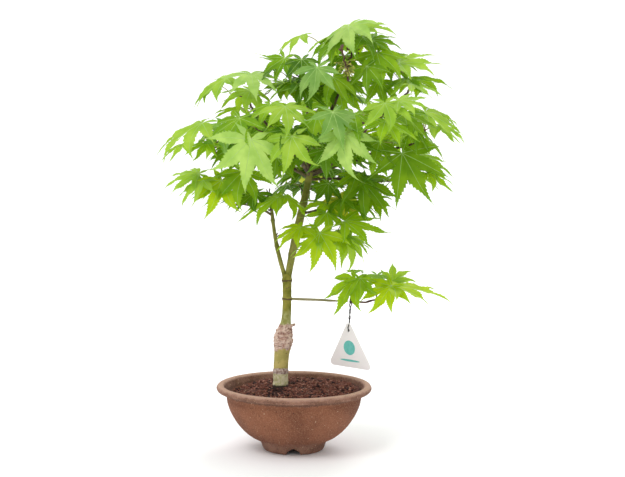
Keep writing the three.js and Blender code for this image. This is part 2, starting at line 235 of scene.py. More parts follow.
def mottle_group():
    """Two colours in soft clouds of a given size."""
    group, start, end = new_group(
        "mottle",
        [("First", "NodeSocketColor", (1, 1, 1, 1)), ("Second", "NodeSocketColor", (0, 0, 0, 1)),
         ("Per Metre", "NodeSocketFloat", 100.0), ("Low", "NodeSocketFloat", 0.35),
         ("High", "NodeSocketFloat", 0.65)],
        [("Color", "NodeSocketColor"), ("Mask", "NodeSocketFloat")])
    nodes, links = group.nodes, group.links
    place_in = nodes.new("ShaderNodeTexCoord")
    cloud = nodes.new("ShaderNodeTexNoise")
    cloud.inputs["Detail"].default_value = 4
    links.new(place_in.outputs["Object"], cloud.inputs["Vector"])
    links.new(start.outputs["Per Metre"], cloud.inputs["Scale"])
    mask = ramp_node(nodes, links, cloud.outputs["Fac"], start.outputs["Low"], start.outputs["High"])
    colour = mix_node(nodes, links, mask, start.outputs["First"], start.outputs["Second"])
    links.new(colour, end.inputs["Color"])
    links.new(mask, end.inputs["Mask"])
    return group


def speck_group():
    """Scattered round specks of one colour over another."""
    group, start, end = new_group(
        "specks",
        [("Ground", "NodeSocketColor", (1, 1, 1, 1)), ("Speck", "NodeSocketColor", (0, 0, 0, 1)),
         ("Per Metre", "NodeSocketFloat", 500.0), ("Size", "NodeSocketFloat", 0.3),
         ("Share", "NodeSocketFloat", 0.3)],
        [("Color", "NodeSocketColor"), ("Mask", "NodeSocketFloat")])
    nodes, links = group.nodes, group.links
    place_in = nodes.new("ShaderNodeTexCoord")
    cells = nodes.new("ShaderNodeTexVoronoi")
    links.new(place_in.outputs["Object"], cells.inputs["Vector"])
    links.new(start.outputs["Per Metre"], cells.inputs["Scale"])
    split = nodes.new("ShaderNodeSeparateColor")
    links.new(cells.outputs["Color"], split.inputs["Color"])
    chosen = math_node(nodes, links, "LESS_THAN", split.outputs["Red"], start.outputs["Share"])
    size = math_node(nodes, links, "MULTIPLY", start.outputs["Size"], split.outputs["Green"])
    near = math_node(nodes, links, "LESS_THAN", cells.outputs["Distance"], size)
    mask = math_node(nodes, links, "MULTIPLY", chosen, near)
    colour = mix_node(nodes, links, mask, start.outputs["Ground"], start.outputs["Speck"])
    links.new(colour, end.inputs["Color"])
    links.new(mask, end.inputs["Mask"])
    return group


def grain_group():
    """A fine uneven height of a given size, stretched along the upright axis by Stretch."""
    group, start, end = new_group(
        "grain",
        [("Per Metre", "NodeSocketFloat", 900.0), ("Stretch", "NodeSocketFloat", 1.0)],
        [("Height", "NodeSocketFloat")])
    nodes, links = group.nodes, group.links
    place_in = nodes.new("ShaderNodeTexCoord")
    scale = nodes.new("ShaderNodeCombineXYZ")
    scale.inputs["X"].default_value = 1
    scale.inputs["Y"].default_value = 1
    links.new(start.outputs["Stretch"], scale.inputs["Z"])
    stretched = nodes.new("ShaderNodeVectorMath")
    stretched.operation = "MULTIPLY"
    links.new(place_in.outputs["Object"], stretched.inputs[0])
    links.new(scale.outputs["Vector"], stretched.inputs[1])
    cloud = nodes.new("ShaderNodeTexNoise")
    cloud.inputs["Detail"].default_value = 6
    cloud.inputs["Roughness"].default_value = 0.62
    links.new(stretched.outputs["Vector"], cloud.inputs["Vector"])
    links.new(start.outputs["Per Metre"], cloud.inputs["Scale"])
    links.new(cloud.outputs["Fac"], end.inputs["Height"])
    return group


def height_band_group():
    """A mask that is 1 between two levels of the upright axis, with soft uneven edges."""
    group, start, end = new_group(
        "height band",
        [("Bottom", "NodeSocketFloat", 0.0), ("Top", "NodeSocketFloat", 0.1),
         ("Softness", "NodeSocketFloat", 0.004), ("Waver", "NodeSocketFloat", 0.006)],
        [("Mask", "NodeSocketFloat")])
    nodes, links = group.nodes, group.links
    place_in = nodes.new("ShaderNodeTexCoord")
    split = nodes.new("ShaderNodeSeparateXYZ")
    links.new(place_in.outputs["Object"], split.inputs["Vector"])
    cloud = nodes.new("ShaderNodeTexNoise")
    cloud.inputs["Scale"].default_value = 160
    links.new(place_in.outputs["Object"], cloud.inputs["Vector"])
    waver = math_node(nodes, links, "SUBTRACT", cloud.outputs["Fac"], 0.5)
    waver = math_node(nodes, links, "MULTIPLY", waver, start.outputs["Waver"])
    level = math_node(nodes, links, "ADD", split.outputs["Z"], waver)
    bottom = math_node(nodes, links, "SUBTRACT", start.outputs["Bottom"], start.outputs["Softness"])
    top = math_node(nodes, links, "ADD", start.outputs["Top"], start.outputs["Softness"])
    rise = ramp_node(nodes, links, level, bottom, start.outputs["Bottom"])
    fall = ramp_node(nodes, links, level, top, start.outputs["Top"])
    links.new(math_node(nodes, links, "MULTIPLY", rise, fall), end.inputs["Mask"])
    return group


MOTTLE = mottle_group()
SPECKS = speck_group()
GRAIN = grain_group()
BAND = height_band_group()


# ---- Materials ----

class Finish:
    """A material in the making: its Principled shader, and a chain of colours that ends in it."""

    def __init__(self, name, roughness, **values):
        self.material = bpy.data.materials.new(name)
        self.material.use_nodes = True
        self.nodes = self.material.node_tree.nodes
        self.links = self.material.node_tree.links
        self.shader = self.nodes["Principled BSDF"]
        self.shader.inputs["Roughness"].default_value = roughness
        for label, value in values.items():
            self.shader.inputs[label.replace("_", " ")].default_value = value

    def group(self, tree, **values):
        """Places a node group. A value may be a number, a colour or another node's socket."""
        node = self.nodes.new("ShaderNodeGroup")
        node.node_tree = tree
        for label, value in values.items():
            target = node.inputs[label.replace("_", " ")]
            if isinstance(value, bpy.types.NodeSocket):
                self.links.new(value, target)
            else:
                target.default_value = (*value, 1) if isinstance(value, tuple) else value
        return node

    def mottle(self, first, second, per_metre, low=0.35, high=0.65):
        node = self.group(MOTTLE, First=first, Second=second, Per_Metre=per_metre, Low=low, High=high)
        return node.outputs["Color"]

    def specks(self, ground, speck, per_metre, size, share):
        node = self.group(SPECKS, Ground=ground, Speck=speck, Per_Metre=per_metre, Size=size, Share=share)
        return node.outputs["Color"]

    def band(self, under, over, bottom, top, softness=0.004, waver=0.006):
        """Lays a colour over another between two levels."""
        mask = self.group(BAND, Bottom=bottom, Top=top, Softness=softness, Waver=waver)
        return self.over(under, over, mask.outputs["Mask"])

    def over(self, under, over, mask):
        return mix_node(self.nodes, self.links, mask, under, over)

    def stain(self, under, over, per_metre, low, high, strength):
        """Lays soft clouds of a colour over another, at a share of their full strength."""
        clouds = self.group(MOTTLE, Per_Metre=per_metre, Low=low, High=high)
        mask = math_node(self.nodes, self.links, "MULTIPLY", clouds.outputs["Mask"], strength)
        return self.over(under, over, mask)

    def colour(self, value):
        self.links.new(value, self.shader.inputs["Base Color"])

    def relief(self, distance, per_metre, stretch=1.0, strength=1.0):
        """Fine relief of the surface, distance being its depth."""
        grain = self.group(GRAIN, Per_Metre=per_metre, Stretch=stretch)
        bump = self.nodes.new("ShaderNodeBump")
        bump.inputs["Strength"].default_value = strength
        bump.inputs["Distance"].default_value = distance
        self.links.new(grain.outputs["Height"], bump.inputs["Height"])
        self.links.new(bump.outputs["Normal"], self.shader.inputs["Normal"])
        return grain.outputs["Height"]

    def rough_from(self, height, low, high):
        """Roughness that follows the relief."""
        spread = self.nodes.new("ShaderNodeMapRange")
        spread.inputs["To Min"].default_value = low
        spread.inputs["To Max"].default_value = high
        self.links.new(height, spread.inputs["Value"])
        self.links.new(spread.outputs["Result"], self.shader.inputs["Roughness"])


def leaf_finish(name, face, light, through):
    """A leaf: two close greens in soft patches, partly its own uneven tone and partly painted light and shade
    across its face, and light that comes through it in a third.
    """
    finish = Finish(name, 0.5, IOR=1.35, Specular_IOR_Level=0.35)
    finish.colour(finish.mottle(face, light, 62.0, 0.3, 0.72))
    finish.rough_from(finish.relief(0.00025, 1400.0), 0.48, 0.68)
    glow = finish.nodes.new("ShaderNodeBsdfTranslucent")
    glow.inputs["Color"].default_value = (*through, 1)
    share = finish.nodes.new("ShaderNodeMixShader")
    share.inputs["Fac"].default_value = 0.42
    finish.links.new(finish.shader.outputs[0], share.inputs[1])
    finish.links.new(glow.outputs[0], share.inputs[2])
    finish.links.new(share.outputs[0], finish.nodes["Material Output"].inputs["Surface"])
    return finish.material


def clay_finish():
    """Unglazed brown clay: warm body, greyer lip and feet, tan grit and dark pits, a painted highlight along
    the lip's crest and painted shade in the groove under the lip.
    """
    finish = Finish("clay", 0.88, Specular_IOR_Level=0.3)
    body = finish.mottle((0.142, 0.048, 0.024), (0.250, 0.094, 0.048), 22.0, 0.32, 0.70)
    grey = finish.mottle((0.25, 0.13, 0.090), (0.145, 0.068, 0.045), 60.0)
    bands = (
        (grey, 0.91, 1.2, 0.005, 0.010),                        # the lip
        ((0.33, 0.195, 0.145), 0.985, 1.2, 0.0022, 0.004),      # painted highlight along the lip's crest
        # a thinner, paler painted highlight on the very top of the crest
        ((0.43, 0.27, 0.20), 0.996, 1.2, 0.0009, 0.003),
        ((0.115, 0.050, 0.033), 0.875, 0.895, 0.0016, 0.004))   # painted shade in the groove under it
    colour = body
    for over, bottom, top, softness, waver in bands:
        colour = finish.band(colour, over, BOWL_HEIGHT * bottom, BOWL_HEIGHT * top, softness, waver)
    colour = finish.band(colour, grey, -0.01, BOWL_HEIGHT * 0.12, 0.008, 0.012)
    colour = finish.stain(colour, (0.45, 0.24, 0.14), 800.0, 0.46, 0.72, 0.5)
    colour = finish.stain(colour, (0.085, 0.034, 0.022), 620.0, 0.54, 0.78, 0.6)
    colour = finish.specks(colour, (0.52, 0.36, 0.24), 480.0, 0.32, 0.10)
    colour = finish.specks(colour, (0.05, 0.025, 0.02), 520.0, 0.34, 0.12)
    finish.colour(colour)
    finish.rough_from(finish.relief(0.0007, 950.0), 0.78, 0.96)
    return finish.material


def soil_finish(name, first, second):
    """Damp granular soil."""
    finish = Finish(name, 0.9, Specular_IOR_Level=0.2)
    finish.colour(finish.mottle(first, second, 420.0, 0.3, 0.7))
    finish.rough_from(finish.relief(0.0009, 1500.0), 0.7, 1.0)
    return finish.material


def trunk_finish(graft_low, graft_high, ground, scars):
    """Trunk bark: pale grey-green foot, ochre green stock, pinkish wrinkled graft with painted highlights on
    its wrinkles and painted shade in its creases, olive green stem, and near-black painted shade on the foot
    where it sinks into the soil.
    """
    finish = Finish("trunk bark", 0.7, Specular_IOR_Level=0.3)
    stem = finish.mottle((0.150, 0.150, 0.010), (0.26, 0.235, 0.035), 110.0)
    pale = finish.mottle((0.34, 0.34, 0.13), (0.22, 0.215, 0.05), 160.0)
    stock = finish.mottle((0.49, 0.40, 0.13), (0.37, 0.32, 0.090), 150.0)
    # The graft's two tones are partly its own pinkish brown and partly painted highlights on its wrinkles;
    # the dark clouds laid over them are painted shade in its creases.
    graft = finish.mottle((0.42, 0.26, 0.20), (0.64, 0.48, 0.39), 170.0, 0.36, 0.60)
    graft = finish.stain(graft, (0.20, 0.085, 0.065), 250.0, 0.52, 0.64, 0.8)
    foot = finish.mottle((0.43, 0.40, 0.19), (0.60, 0.53, 0.36), 330.0, 0.36, 0.64)
    ring = finish.mottle((0.52, 0.41, 0.35), (0.24, 0.15, 0.12), 420.0, 0.42, 0.62)
    colour = finish.band(stem, pale, graft_high, graft_high + 0.010, 0.012, 0.014)
    colour = finish.band(colour, stock, ground, graft_low, 0.003)
    colour = finish.band(colour, graft, graft_low, graft_high, 0.003, 0.016)
    colour = finish.band(colour, foot, ground - 0.02, ground + 0.016, 0.003)
    colour = finish.band(colour, ring, ground + 0.0145, ground + 0.0195, 0.0015, 0.004)
    for level in scars:
        colour = finish.band(colour, (0.085, 0.052, 0.022), level - 0.0003, level + 0.0003, 0.0012, 0.003)
    # Near-black painted shade on the trunk's foot, just under the soil's top, where it sinks into the hollow
    # round it.
    colour = finish.band(colour, (0.03, 0.02, 0.014), ground - 0.03, ground - 0.001, 0.0025, 0.004)
    colour = finish.specks(colour, (0.13, 0.07, 0.04), 420.0, 0.32, 0.30)
    finish.colour(colour)
    finish.rough_from(finish.relief(0.0009, 620.0, 0.7), 0.55, 0.88)
    return finish.material


def bark_finish(name, first, second, speck, per_metre=160.0):
    """Young smooth bark with small dark pores."""
    finish = Finish(name, 0.62, Specular_IOR_Level=0.3)
    colour = finish.mottle(first, second, per_metre)
    finish.colour(finish.specks(colour, speck, 600.0, 0.32, 0.22))
    finish.rough_from(finish.relief(0.0003, 900.0, 0.4), 0.5, 0.78)
    return finish.material


def plain_finish(name, colour, second, roughness, per_metre=300.0, depth=0.0001):
    """A small part in two close tones."""
    finish = Finish(name, roughness)
    finish.colour(finish.mottle(colour, second, per_metre))
    finish.relief(depth, per_metre * 3)
    return finish.material


# ---- Reading the limbs back from their solids ----

def welded(node):
    """A node's corner points and the pairs of them that its edges join."""
    mesh = bmesh.new()
    mesh.from_mesh(NODES[node].data)
    bmesh.ops.remove_doubles(mesh, verts=mesh.verts, dist=1e-6)
    mesh.verts.ensure_lookup_table()
    points = np.array([v.co for v in mesh.verts])
    edges = np.array([[v.index for v in e.verts] for e in mesh.edges])
    mesh.free()
    return points, edges


def centreline(node, root, stations):
    """A limb's middle and radius at even levels along it, starting at the end nearest root."""
    points, edges = welded(node)
    middle = points.mean(0)
    axis = np.linalg.svd(points - middle, full_matrices=False)[2][0]
    if (root - middle) @ axis > 0:
        axis = -axis
    levels = (points - middle) @ axis
    path = []
    radii = []
    for level in np.linspace(levels.min(), levels.max(), stations + 2)[1:-1]:
        above = levels[edges] - level
        crossing = above[:, 0] * above[:, 1] < 0
        share = (above[:, 0] / (above[:, 0] - above[:, 1]))[crossing, None]
        ends = points[edges[crossing]]
        hits = ends[:, 0] + (ends[:, 1] - ends[:, 0]) * share
        path.append(hits.mean(0))
        spread = np.linalg.svd(hits - path[-1], compute_uv=False)
        radii.append(math.sqrt(2 / len(hits)) * spread[1])
    path = [2 * path[0] - path[1], *path, 2 * path[-1] - path[-2]]
    return np.array(path), np.array([radii[0], *radii, radii[-1]])


def nearest_on(path, point):
    """The place of the path's point nearest to a point."""
    return int(np.argmin(np.linalg.norm(path - point, axis=1)))


# ---- Leaves ----

LOBE_TURNS = (0, 37, -37, 78, -78, 128, -128)          # degrees off the middle lobe
LOBE_LENGTHS = (1.04, 0.98, 0.98, 0.80, 0.80, 0.42, 0.42)
LOBE_WIDTH = 0.137
TEETH = 9
SINUS = 0.40


def lobe_width(s):
    """Half the width of a lobe at a share of its length: fullest near its middle, long at its tip."""
    return LOBE_WIDTH * (np.maximum(s, 0) / 0.38) ** 1.55 * (np.maximum(1 - s, 0) / 0.62) ** 2.5


def half_lobe_grid():
    """Shares along a half lobe for its inner columns and its toothed edge, and the edge's width."""
    inner = np.linspace(0, SINUS, 6)[:-1]
    outer = np.linspace(SINUS, 0.97, 2 * TEETH + 1)
    along = np.concatenate([inner, outer, [1.0]])
    pitch = outer[1] - outer[0]
    tooth = np.zeros(len(along))
    tooth[len(inner) + 1:-2:2] = 1
    edge_along = along + tooth * pitch * 0.8
    swell = 1 + tooth * 0.20 - 0.05
    return along, edge_along, lobe_width(along) * swell


ALONG, EDGE_ALONG, EDGE_WIDTH = half_lobe_grid()
ROWS = len(ALONG)


def strip_faces(rows, flip):
    """Faces of a strip three columns of points wide."""
    corners = np.array([[r * 3 + c, r * 3 + c + 1, r * 3 + c + 4, r * 3 + c + 3]
                        for r in range(rows - 1) for c in (0, 1)])
    return corners[:, ::-1] if flip else corners


def leaf_bend(flat, side, droop, fold, length):
    """Turns flat points of a leaf into its folded, hanging form. side is the turn off a lobe's middle."""
    radius = np.linalg.norm(flat, axis=1)
    bearing = np.arctan2(flat[:, 0], flat[:, 1])
    bend = np.maximum(droop, 1e-3)
    angle = bend * radius
    lift = fold * radius * np.abs(side)
    out = np.sin(angle) / bend + lift * np.sin(angle)
    down = (np.cos(angle) - 1) / bend + lift * np.cos(angle)
    return np.stack([out * np.sin(bearing), out * np.cos(bearing), down], 1) * length


def leaf_blade(rng, length, droop, fold):
    """A leaf's blade and its veins about the end of its stalk, middle lobe along +Y, face up."""
    blade, veins = Shape(), Shape()
    turns = [math.radians(t + rng.uniform(-4, 4)) for t in LOBE_TURNS]
    lengths = [k * rng.uniform(0.9, 1.06) for k in LOBE_LENGTHS]
    droops = [max(droop * rng.uniform(0.7, 1.3), 0.05) for _ in turns]
    sways = [rng.uniform(-0.9, 0.9) for _ in turns]
    order = sorted(range(len(turns)), key=lambda i: turns[i])
    for rank, i in enumerate(order):
        wave = rng.uniform(0, 6.28)
        for step in (1, -1):
            inside = 0 <= rank + step < len(order)
            other = order[rank + step] if inside else i
            gap = abs(turns[other] - turns[i]) / 2 if inside else math.radians(34)
            limit = np.tan(gap) * ALONG
            free = (EDGE_WIDTH < limit) & (ALONG > 0.1)
            edge = np.where(free, EDGE_WIDTH, limit)
            along = np.stack([ALONG, ALONG, np.where(free, EDGE_ALONG, ALONG)], 1).ravel() * lengths[i]
            width = np.stack([0 * edge, 0.5 * edge, edge], 1).ravel() * lengths[i]
            side = np.arctan2(width, np.maximum(along, 1e-9))
            radius = np.hypot(along, width)
            bearing = turns[i] + step * side + sways[i] * np.maximum(radius - 0.42, 0) ** 2
            flat = np.stack([radius * np.sin(bearing), radius * np.cos(bearing)], 1)
            mix = np.clip(side / gap, 0, 1) * (1 - smoothstep(radius, 0.38, 0.6)) / 2
            local_droop = droops[i] * (1 - mix) + droops[other] * mix
            points = leaf_bend(flat, side, local_droop, fold, length)
            rim = np.tile([0, 0.35, 1], ROWS) * smoothstep(radius, 0.4, 0.6) * (1 - radius) * 4
            points[:, 2] += rim * 0.014 * length * np.sin(radius * 19 + wave + step)
            blade.add(points, strip_faces(ROWS, step < 0))
        steps = np.linspace(0.0, 0.92, 9)
        bearing = turns[i] + sways[i] * np.maximum(steps * lengths[i] - 0.42, 0) ** 2
        spine = np.stack([steps * np.sin(bearing), steps * np.cos(bearing)], 1) * lengths[i]
        ridge = leaf_bend(spine, 0 * steps, np.full(len(steps), droops[i]), fold, length)
        across = np.array([math.cos(turns[i]), -math.sin(turns[i]), 0]) * length
        across = across * (0.0070 * (1 - 0.75 * steps))[:, None]
        for face in (1, -1):
            crest = ridge + np.array([0, 0, face * 0.0045 * length])
            strip = np.stack([ridge - across, crest, ridge + across], 1).reshape(-1, 3)
            veins.add(strip, strip_faces(len(steps), face > 0))
    return blade, veins


# ---- Twigs and sprays ----

class Foliage:
    """What grows in the masses: twigs, leaf stalks, blades by tint, and veins."""

    def __init__(self):
        self.twigs = Shape()
        self.stalks = Shape()
        self.veins = Shape()
        self.blades = {tint: Shape() for tint in TINTS}

    def leaf(self, rng, node, base, heading, tint, scale, pitch, droop, roll=0.0):
        """A stalk from a node to the base of a blade, and the blade, which points along heading."""
        flat = unit([heading[0], heading[1], 0])
        forward = flat * math.cos(pitch) - UP * math.sin(pitch)
        across = unit(np.cross(forward, UP + flat * 0.01))
        normal = np.cross(across, forward)
        across, normal = (across * math.cos(roll) + normal * math.sin(roll),
                          normal * math.cos(roll) - across * math.sin(roll))
        length = LEAF_LENGTH * scale
        blade, veins = leaf_blade(rng, length, droop, rng.uniform(0.10, 0.34))
        turn = np.stack([across, forward, normal])
        for part, shape in ((blade, self.blades[tint]), (veins, self.veins)):
            shape.add(np.concatenate(part.points) @ turn + base, np.concatenate(part.faces))
        span = np.linalg.norm(base - node)
        lead = unit(unit(base - node) + UP * rng.uniform(0.1, 0.7)) * span * 0.4
        path = bezier(node, node + lead, base - forward * span * 0.22 - normal * span * 0.12, base, 8)
        self.stalks.tube(path, np.linspace(0.00068, 0.00044, 8), 6)

    def twig(self, rng, start, lead, end, radii, steps=9):
        """A slender shoot that leaves along lead, rises, and bends over to its end."""
        reach = np.linalg.norm(end - start)
        away = unit(lead) * reach * 0.4
        back = unit(end - start + UP * 0.3 * reach) * reach * 0.3
        path = bezier(start, start + away, end - back, end, steps)
        wobble = np.array([[rng.gauss(0, 1) for _ in range(3)] for _ in range(steps)])
        path[1:-1] += wobble[1:-1] * reach * 0.015
        radii = np.linspace(*radii, steps)
        radii[1::3] *= 1.22
        self.twigs.tube(path, radii, 7)
        return path

    def tuft(self, rng, point, lead, count, reach):
        """A few bare twig ends, fanned out from one place."""
        for _ in range(count):
            way = unit(unit(lead) + np.array([rng.gauss(0, 0.5) for _ in range(3)]))
            self.twig(rng, point, way, point + way * reach * rng.uniform(0.5, 1.1), (0.0009, 0.0005), 6)


def sweep(pitch, droop):
    """How far out and how far down the tip of a blade of length one comes."""
    ahead = (math.sin(pitch + droop) - math.sin(pitch)) / droop
    fall = (math.cos(pitch) - math.cos(pitch + droop)) / droop
    return ahead, fall


class Mass:
    """The room that one mass gives its leaves."""

    def __init__(self, name):
        mesh = NODES[name].data
        self.tree = BVHTree.FromPolygons([v.co for v in mesh.vertices], [p.vertices for p in mesh.polygons])
        self.low, self.high = (np.array(corner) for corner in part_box(name))
        self.heart = (self.low + self.high) / 2
        self.heart[2] = self.low[2] + (self.high[2] - self.low[2]) * 0.45

    def reach(self, flat, start=None):
        """How far it is from the heart to the surface along a direction."""
        start = self.heart if start is None else start
        hit = self.tree.ray_cast(Vector(start), Vector(flat), 0.15)
        return hit[3] if hit[0] is not None else 0.0

    def levels(self, point):
        """The surface's levels below and above a point."""
        down = self.tree.ray_cast(Vector((point[0], point[1], 1)), Vector((0, 0, -1)), 2)
        up = self.tree.ray_cast(Vector((point[0], point[1], -1)), Vector((0, 0, 1)), 2)
        if down[0] is None or up[0] is None:
            return self.heart[2] - 0.01, self.heart[2] + 0.008
        return up[0][2], down[0][2]


def spray(plant, rng, mass, joint, bearings, tier, look, outward):
    """One shoot from a joint, ending in a leaf for each bearing. tier is 0 low down and 1 on top."""
    plans = []
    for bearing in bearings:
        flat = np.array([math.cos(bearing), math.sin(bearing), 0])
        scale = look["scale"] * rng.uniform(0.8, 1.1) * (0.88 if tier > 0.7 else 1)
        pitch = look["pitch"] * rng.uniform(0.5, 1.4) * (1.15 - 0.75 * tier)
        droop = look["droop"] * rng.uniform(0.6, 1.3)
        ahead, fall = sweep(pitch, droop)
        room = mass.reach(flat) - LEAF_LENGTH * scale * ahead
        offset = min(max(room, 0.003), 0.04)
        base = mass.heart + flat * offset
        below, above = mass.levels(base)
        base[2] = below + (above - below) * (0.42 + 0.55 * tier * rng.uniform(0.85, 1.0))
        short = mass.low[2] - 0.006 - (base[2] - LEAF_LENGTH * scale * fall)
        if short > 0:
            pitch *= 0.5
        plans.append((base, flat, scale, pitch, droop))
    middle = np.mean([plan[0] for plan in plans], 0)
    tip = mass.heart * 0.45 + middle * 0.55
    tip[2] = middle[2] - 0.004
    plant.twig(rng, joint, tip - joint + UP * 0.01, tip, (0.0009, 0.0006))
    tints = look["tints"] if tier < 0.7 else look["tints"][:2]
    tint = tints[min(int(rng.random() * len(tints)), len(tints) - 1)]
    for base, flat, scale, pitch, droop in plans:
        heading = unit(flat + outward * look["lean"])
        plant.leaf(rng, tip, base, heading, tint, scale, pitch, droop, rng.uniform(-0.3, 0.3))


def grow_mass(plant, rng, name, bough, look, axis_point):
    """Fills one mass: its bough runs on to the heart, and shoots fan out to carry pairs of leaves."""
    mass = Mass(name)
    path = plant.twig(rng, bough[-1], bough[-1] - bough[-7], mass.heart, (0.0013, 0.0010), 12)
    outward = np.array([mass.heart[0] - axis_point[0], mass.heart[1] - axis_point[1], 0])
    outward = outward / max(np.linalg.norm(outward), 0.05)
    grow_leading(plant, rng, name, np.vstack([bough[len(bough) // 2:], path]))
    turn = rng.uniform(0, 2 * math.pi)
    shoots = look["shoots"]
    for k in range(shoots):
        middle = turn + 2 * math.pi * k / shoots
        half = math.pi / shoots / 2 * rng.uniform(0.8, 1.3)
        joint = path[7 + k % 4]
        spray(plant, rng, mass, joint, (middle - half, middle + half), rng.uniform(0.1, 0.65), look, outward)
    for k in range(look["top_shoots"]):
        middle = turn + 1 + 2 * math.pi * k / max(look["top_shoots"], 1)
        spread = rng.uniform(0.9, 1.6)
        spray(plant, rng, mass, path[-1], (middle - spread, middle + spread), 1.0, look, outward)


def grow_leading(plant, rng, name, bough):
    """The big leaves that lead a mass, each on a shoot from the nearest wood."""
    middle, half = half_box(name)
    for share, azimuth, pitch, scale, tint, roll, droop in LEADING.get(name, ()):
        base = middle + half * share
        joint = bough[max(nearest_on(bough, base) - 3, 0)]
        away = joint - base
        span = np.linalg.norm(away)
        tip = base + away * min(0.6, 0.020 / span) - UP * 0.003
        if span > 0.012:
            plant.twig(rng, joint, tip - joint + UP * 0.015, tip, (0.0010, 0.0006))
        turn = math.radians(azimuth + rng.uniform(-4, 4))
        heading = (math.cos(turn), math.sin(turn), 0)
        plant.leaf(rng, tip, base, heading, tint, scale, pitch, droop, roll + rng.uniform(-0.08, 0.08))


def grow_inner(plant, rng, bough, look):
    """Small leaves in pairs on short shoots along a bough."""
    for share in look["inner"]:
        place_at = int(share * (len(bough) - 2))
        point = bough[place_at]
        along = unit(bough[place_at + 1] - point)
        side = unit(np.cross(along, UP)) * rng.choice((1, -1))
        lead = unit(side * rng.uniform(0.4, 1) + UP * rng.uniform(0.2, 0.9) + along * 0.4)
        tip = point + lead * rng.uniform(0.008, 0.018)
        plant.twig(rng, point, lead, tip, (0.0008, 0.0005), 6)
        # Inner leaves take the darker greens, as painted shade inside the crown.
        tint = rng.choice(("deep", "mid", "fresh"))
        for turn in (0.9, -0.9):
            flat = unit(turned(lead, turn * rng.uniform(0.7, 1.3)) * [1, 1, 0] + along * [0.3, 0.3, 0])
            base = tip + flat * rng.uniform(0.008, 0.016) + UP * rng.uniform(-0.002, 0.006)
            scale = rng.uniform(0.55, 0.85)
            plant.leaf(rng, tip, base, flat, tint, scale, rng.uniform(0.1, 0.8), rng.uniform(0.3, 0.9),
                       rng.uniform(-0.4, 0.4))


# Each tint: the face green, the green of its soft patches, and the green of light through the leaf. The
# spread from pale to deep is partly painted light: pale, bluer and whiter, is painted sheen on leaves lit
# from above, light stands for top-lit leaves, and deep for leaves in the crown's shade.
TINTS = {
    "pale": ((0.300, 0.510, 0.115), (0.540, 0.740, 0.200), (0.44, 0.68, 0.06)),
    "cool": ((0.165, 0.345, 0.070), (0.320, 0.520, 0.130), (0.32, 0.56, 0.04)),
    "light": ((0.260, 0.465, 0.035), (0.440, 0.630, 0.080), (0.42, 0.66, 0.02)),
    "lime": ((0.270, 0.460, 0.006), (0.420, 0.600, 0.012), (0.50, 0.68, 0.003)),
    "fresh": ((0.165, 0.360, 0.007), (0.310, 0.510, 0.018), (0.38, 0.60, 0.004)),
    "mid": ((0.105, 0.265, 0.006), (0.215, 0.390, 0.014), (0.30, 0.50, 0.003)),
    "deep": ((0.045, 0.135, 0.008), (0.115, 0.245, 0.012), (0.19, 0.38, 0.003)),
    "yellow": ((0.400, 0.480, 0.030), (0.520, 0.580, 0.080), (0.60, 0.64, 0.02)),
}

BASE_LOOK = {"shoots": 3, "top_shoots": 0, "scale": 0.85, "pitch": 0.65, "droop": 0.6, "lean": 0.35,
             "inner": (0.45, 0.75), "tints": ("fresh", "mid", "light")}
LOOKS = {
    "crown_top": {"tints": ("light", "mid", "fresh"), "lean": 0.1},
    "crown_heart": {"tints": ("mid", "fresh", "deep"), "lean": 0},
    "crown_upper_left": {"shoots": 1, "scale": 0.75, "tints": ("light", "mid"), "pitch": 0.5},
    "crown_upper_right": {"shoots": 1, "tints": ("light", "mid", "fresh"), "pitch": 0.3, "droop": 0.5},
    "crown_left": {"shoots": 2, "scale": 0.75},
    "crown_front": {"tints": ("mid", "fresh", "deep"), "pitch": 0.8},
    "crown_front_right": {"shoots": 2, "tints": ("mid", "fresh", "deep"), "pitch": 0.8},
    "crown_right": {"shoots": 1, "scale": 0.75, "tints": ("light", "mid")},
    "crown_back": {"top_shoots": 1, "tints": ("mid", "fresh", "light"), "scale": 0.95},
    "crown_back_left": {"top_shoots": 1, "scale": 0.95},
    "crown_back_right": {"top_shoots": 1, "scale": 0.95},
    "crown_low_left": {"shoots": 2, "scale": 0.75, "tints": ("fresh", "light", "mid")},
    "crown_low_right": {"shoots": 2, "tints": ("mid", "fresh"), "pitch": 0.7},
    "crown_inner_right": {"shoots": 1, "tints": ("mid", "deep", "yellow"), "scale": 0.75},
    "crown_low_back": {"top_shoots": 1, "tints": ("deep", "mid", "yellow")},
    "side_stem_pad": {"shoots": 0, "inner": ()},
    "leader_pad": {"shoots": 2, "tints": ("fresh", "light"), "inner": ()},
    "low_bough_pad": {"shoots": 0, "inner": ()},
}
BOUGH_OF = {"side_stem_pad": "bough_side_stem", "leader_pad": "bough_leader_pad",
            "low_bough_pad": "bough_low"}

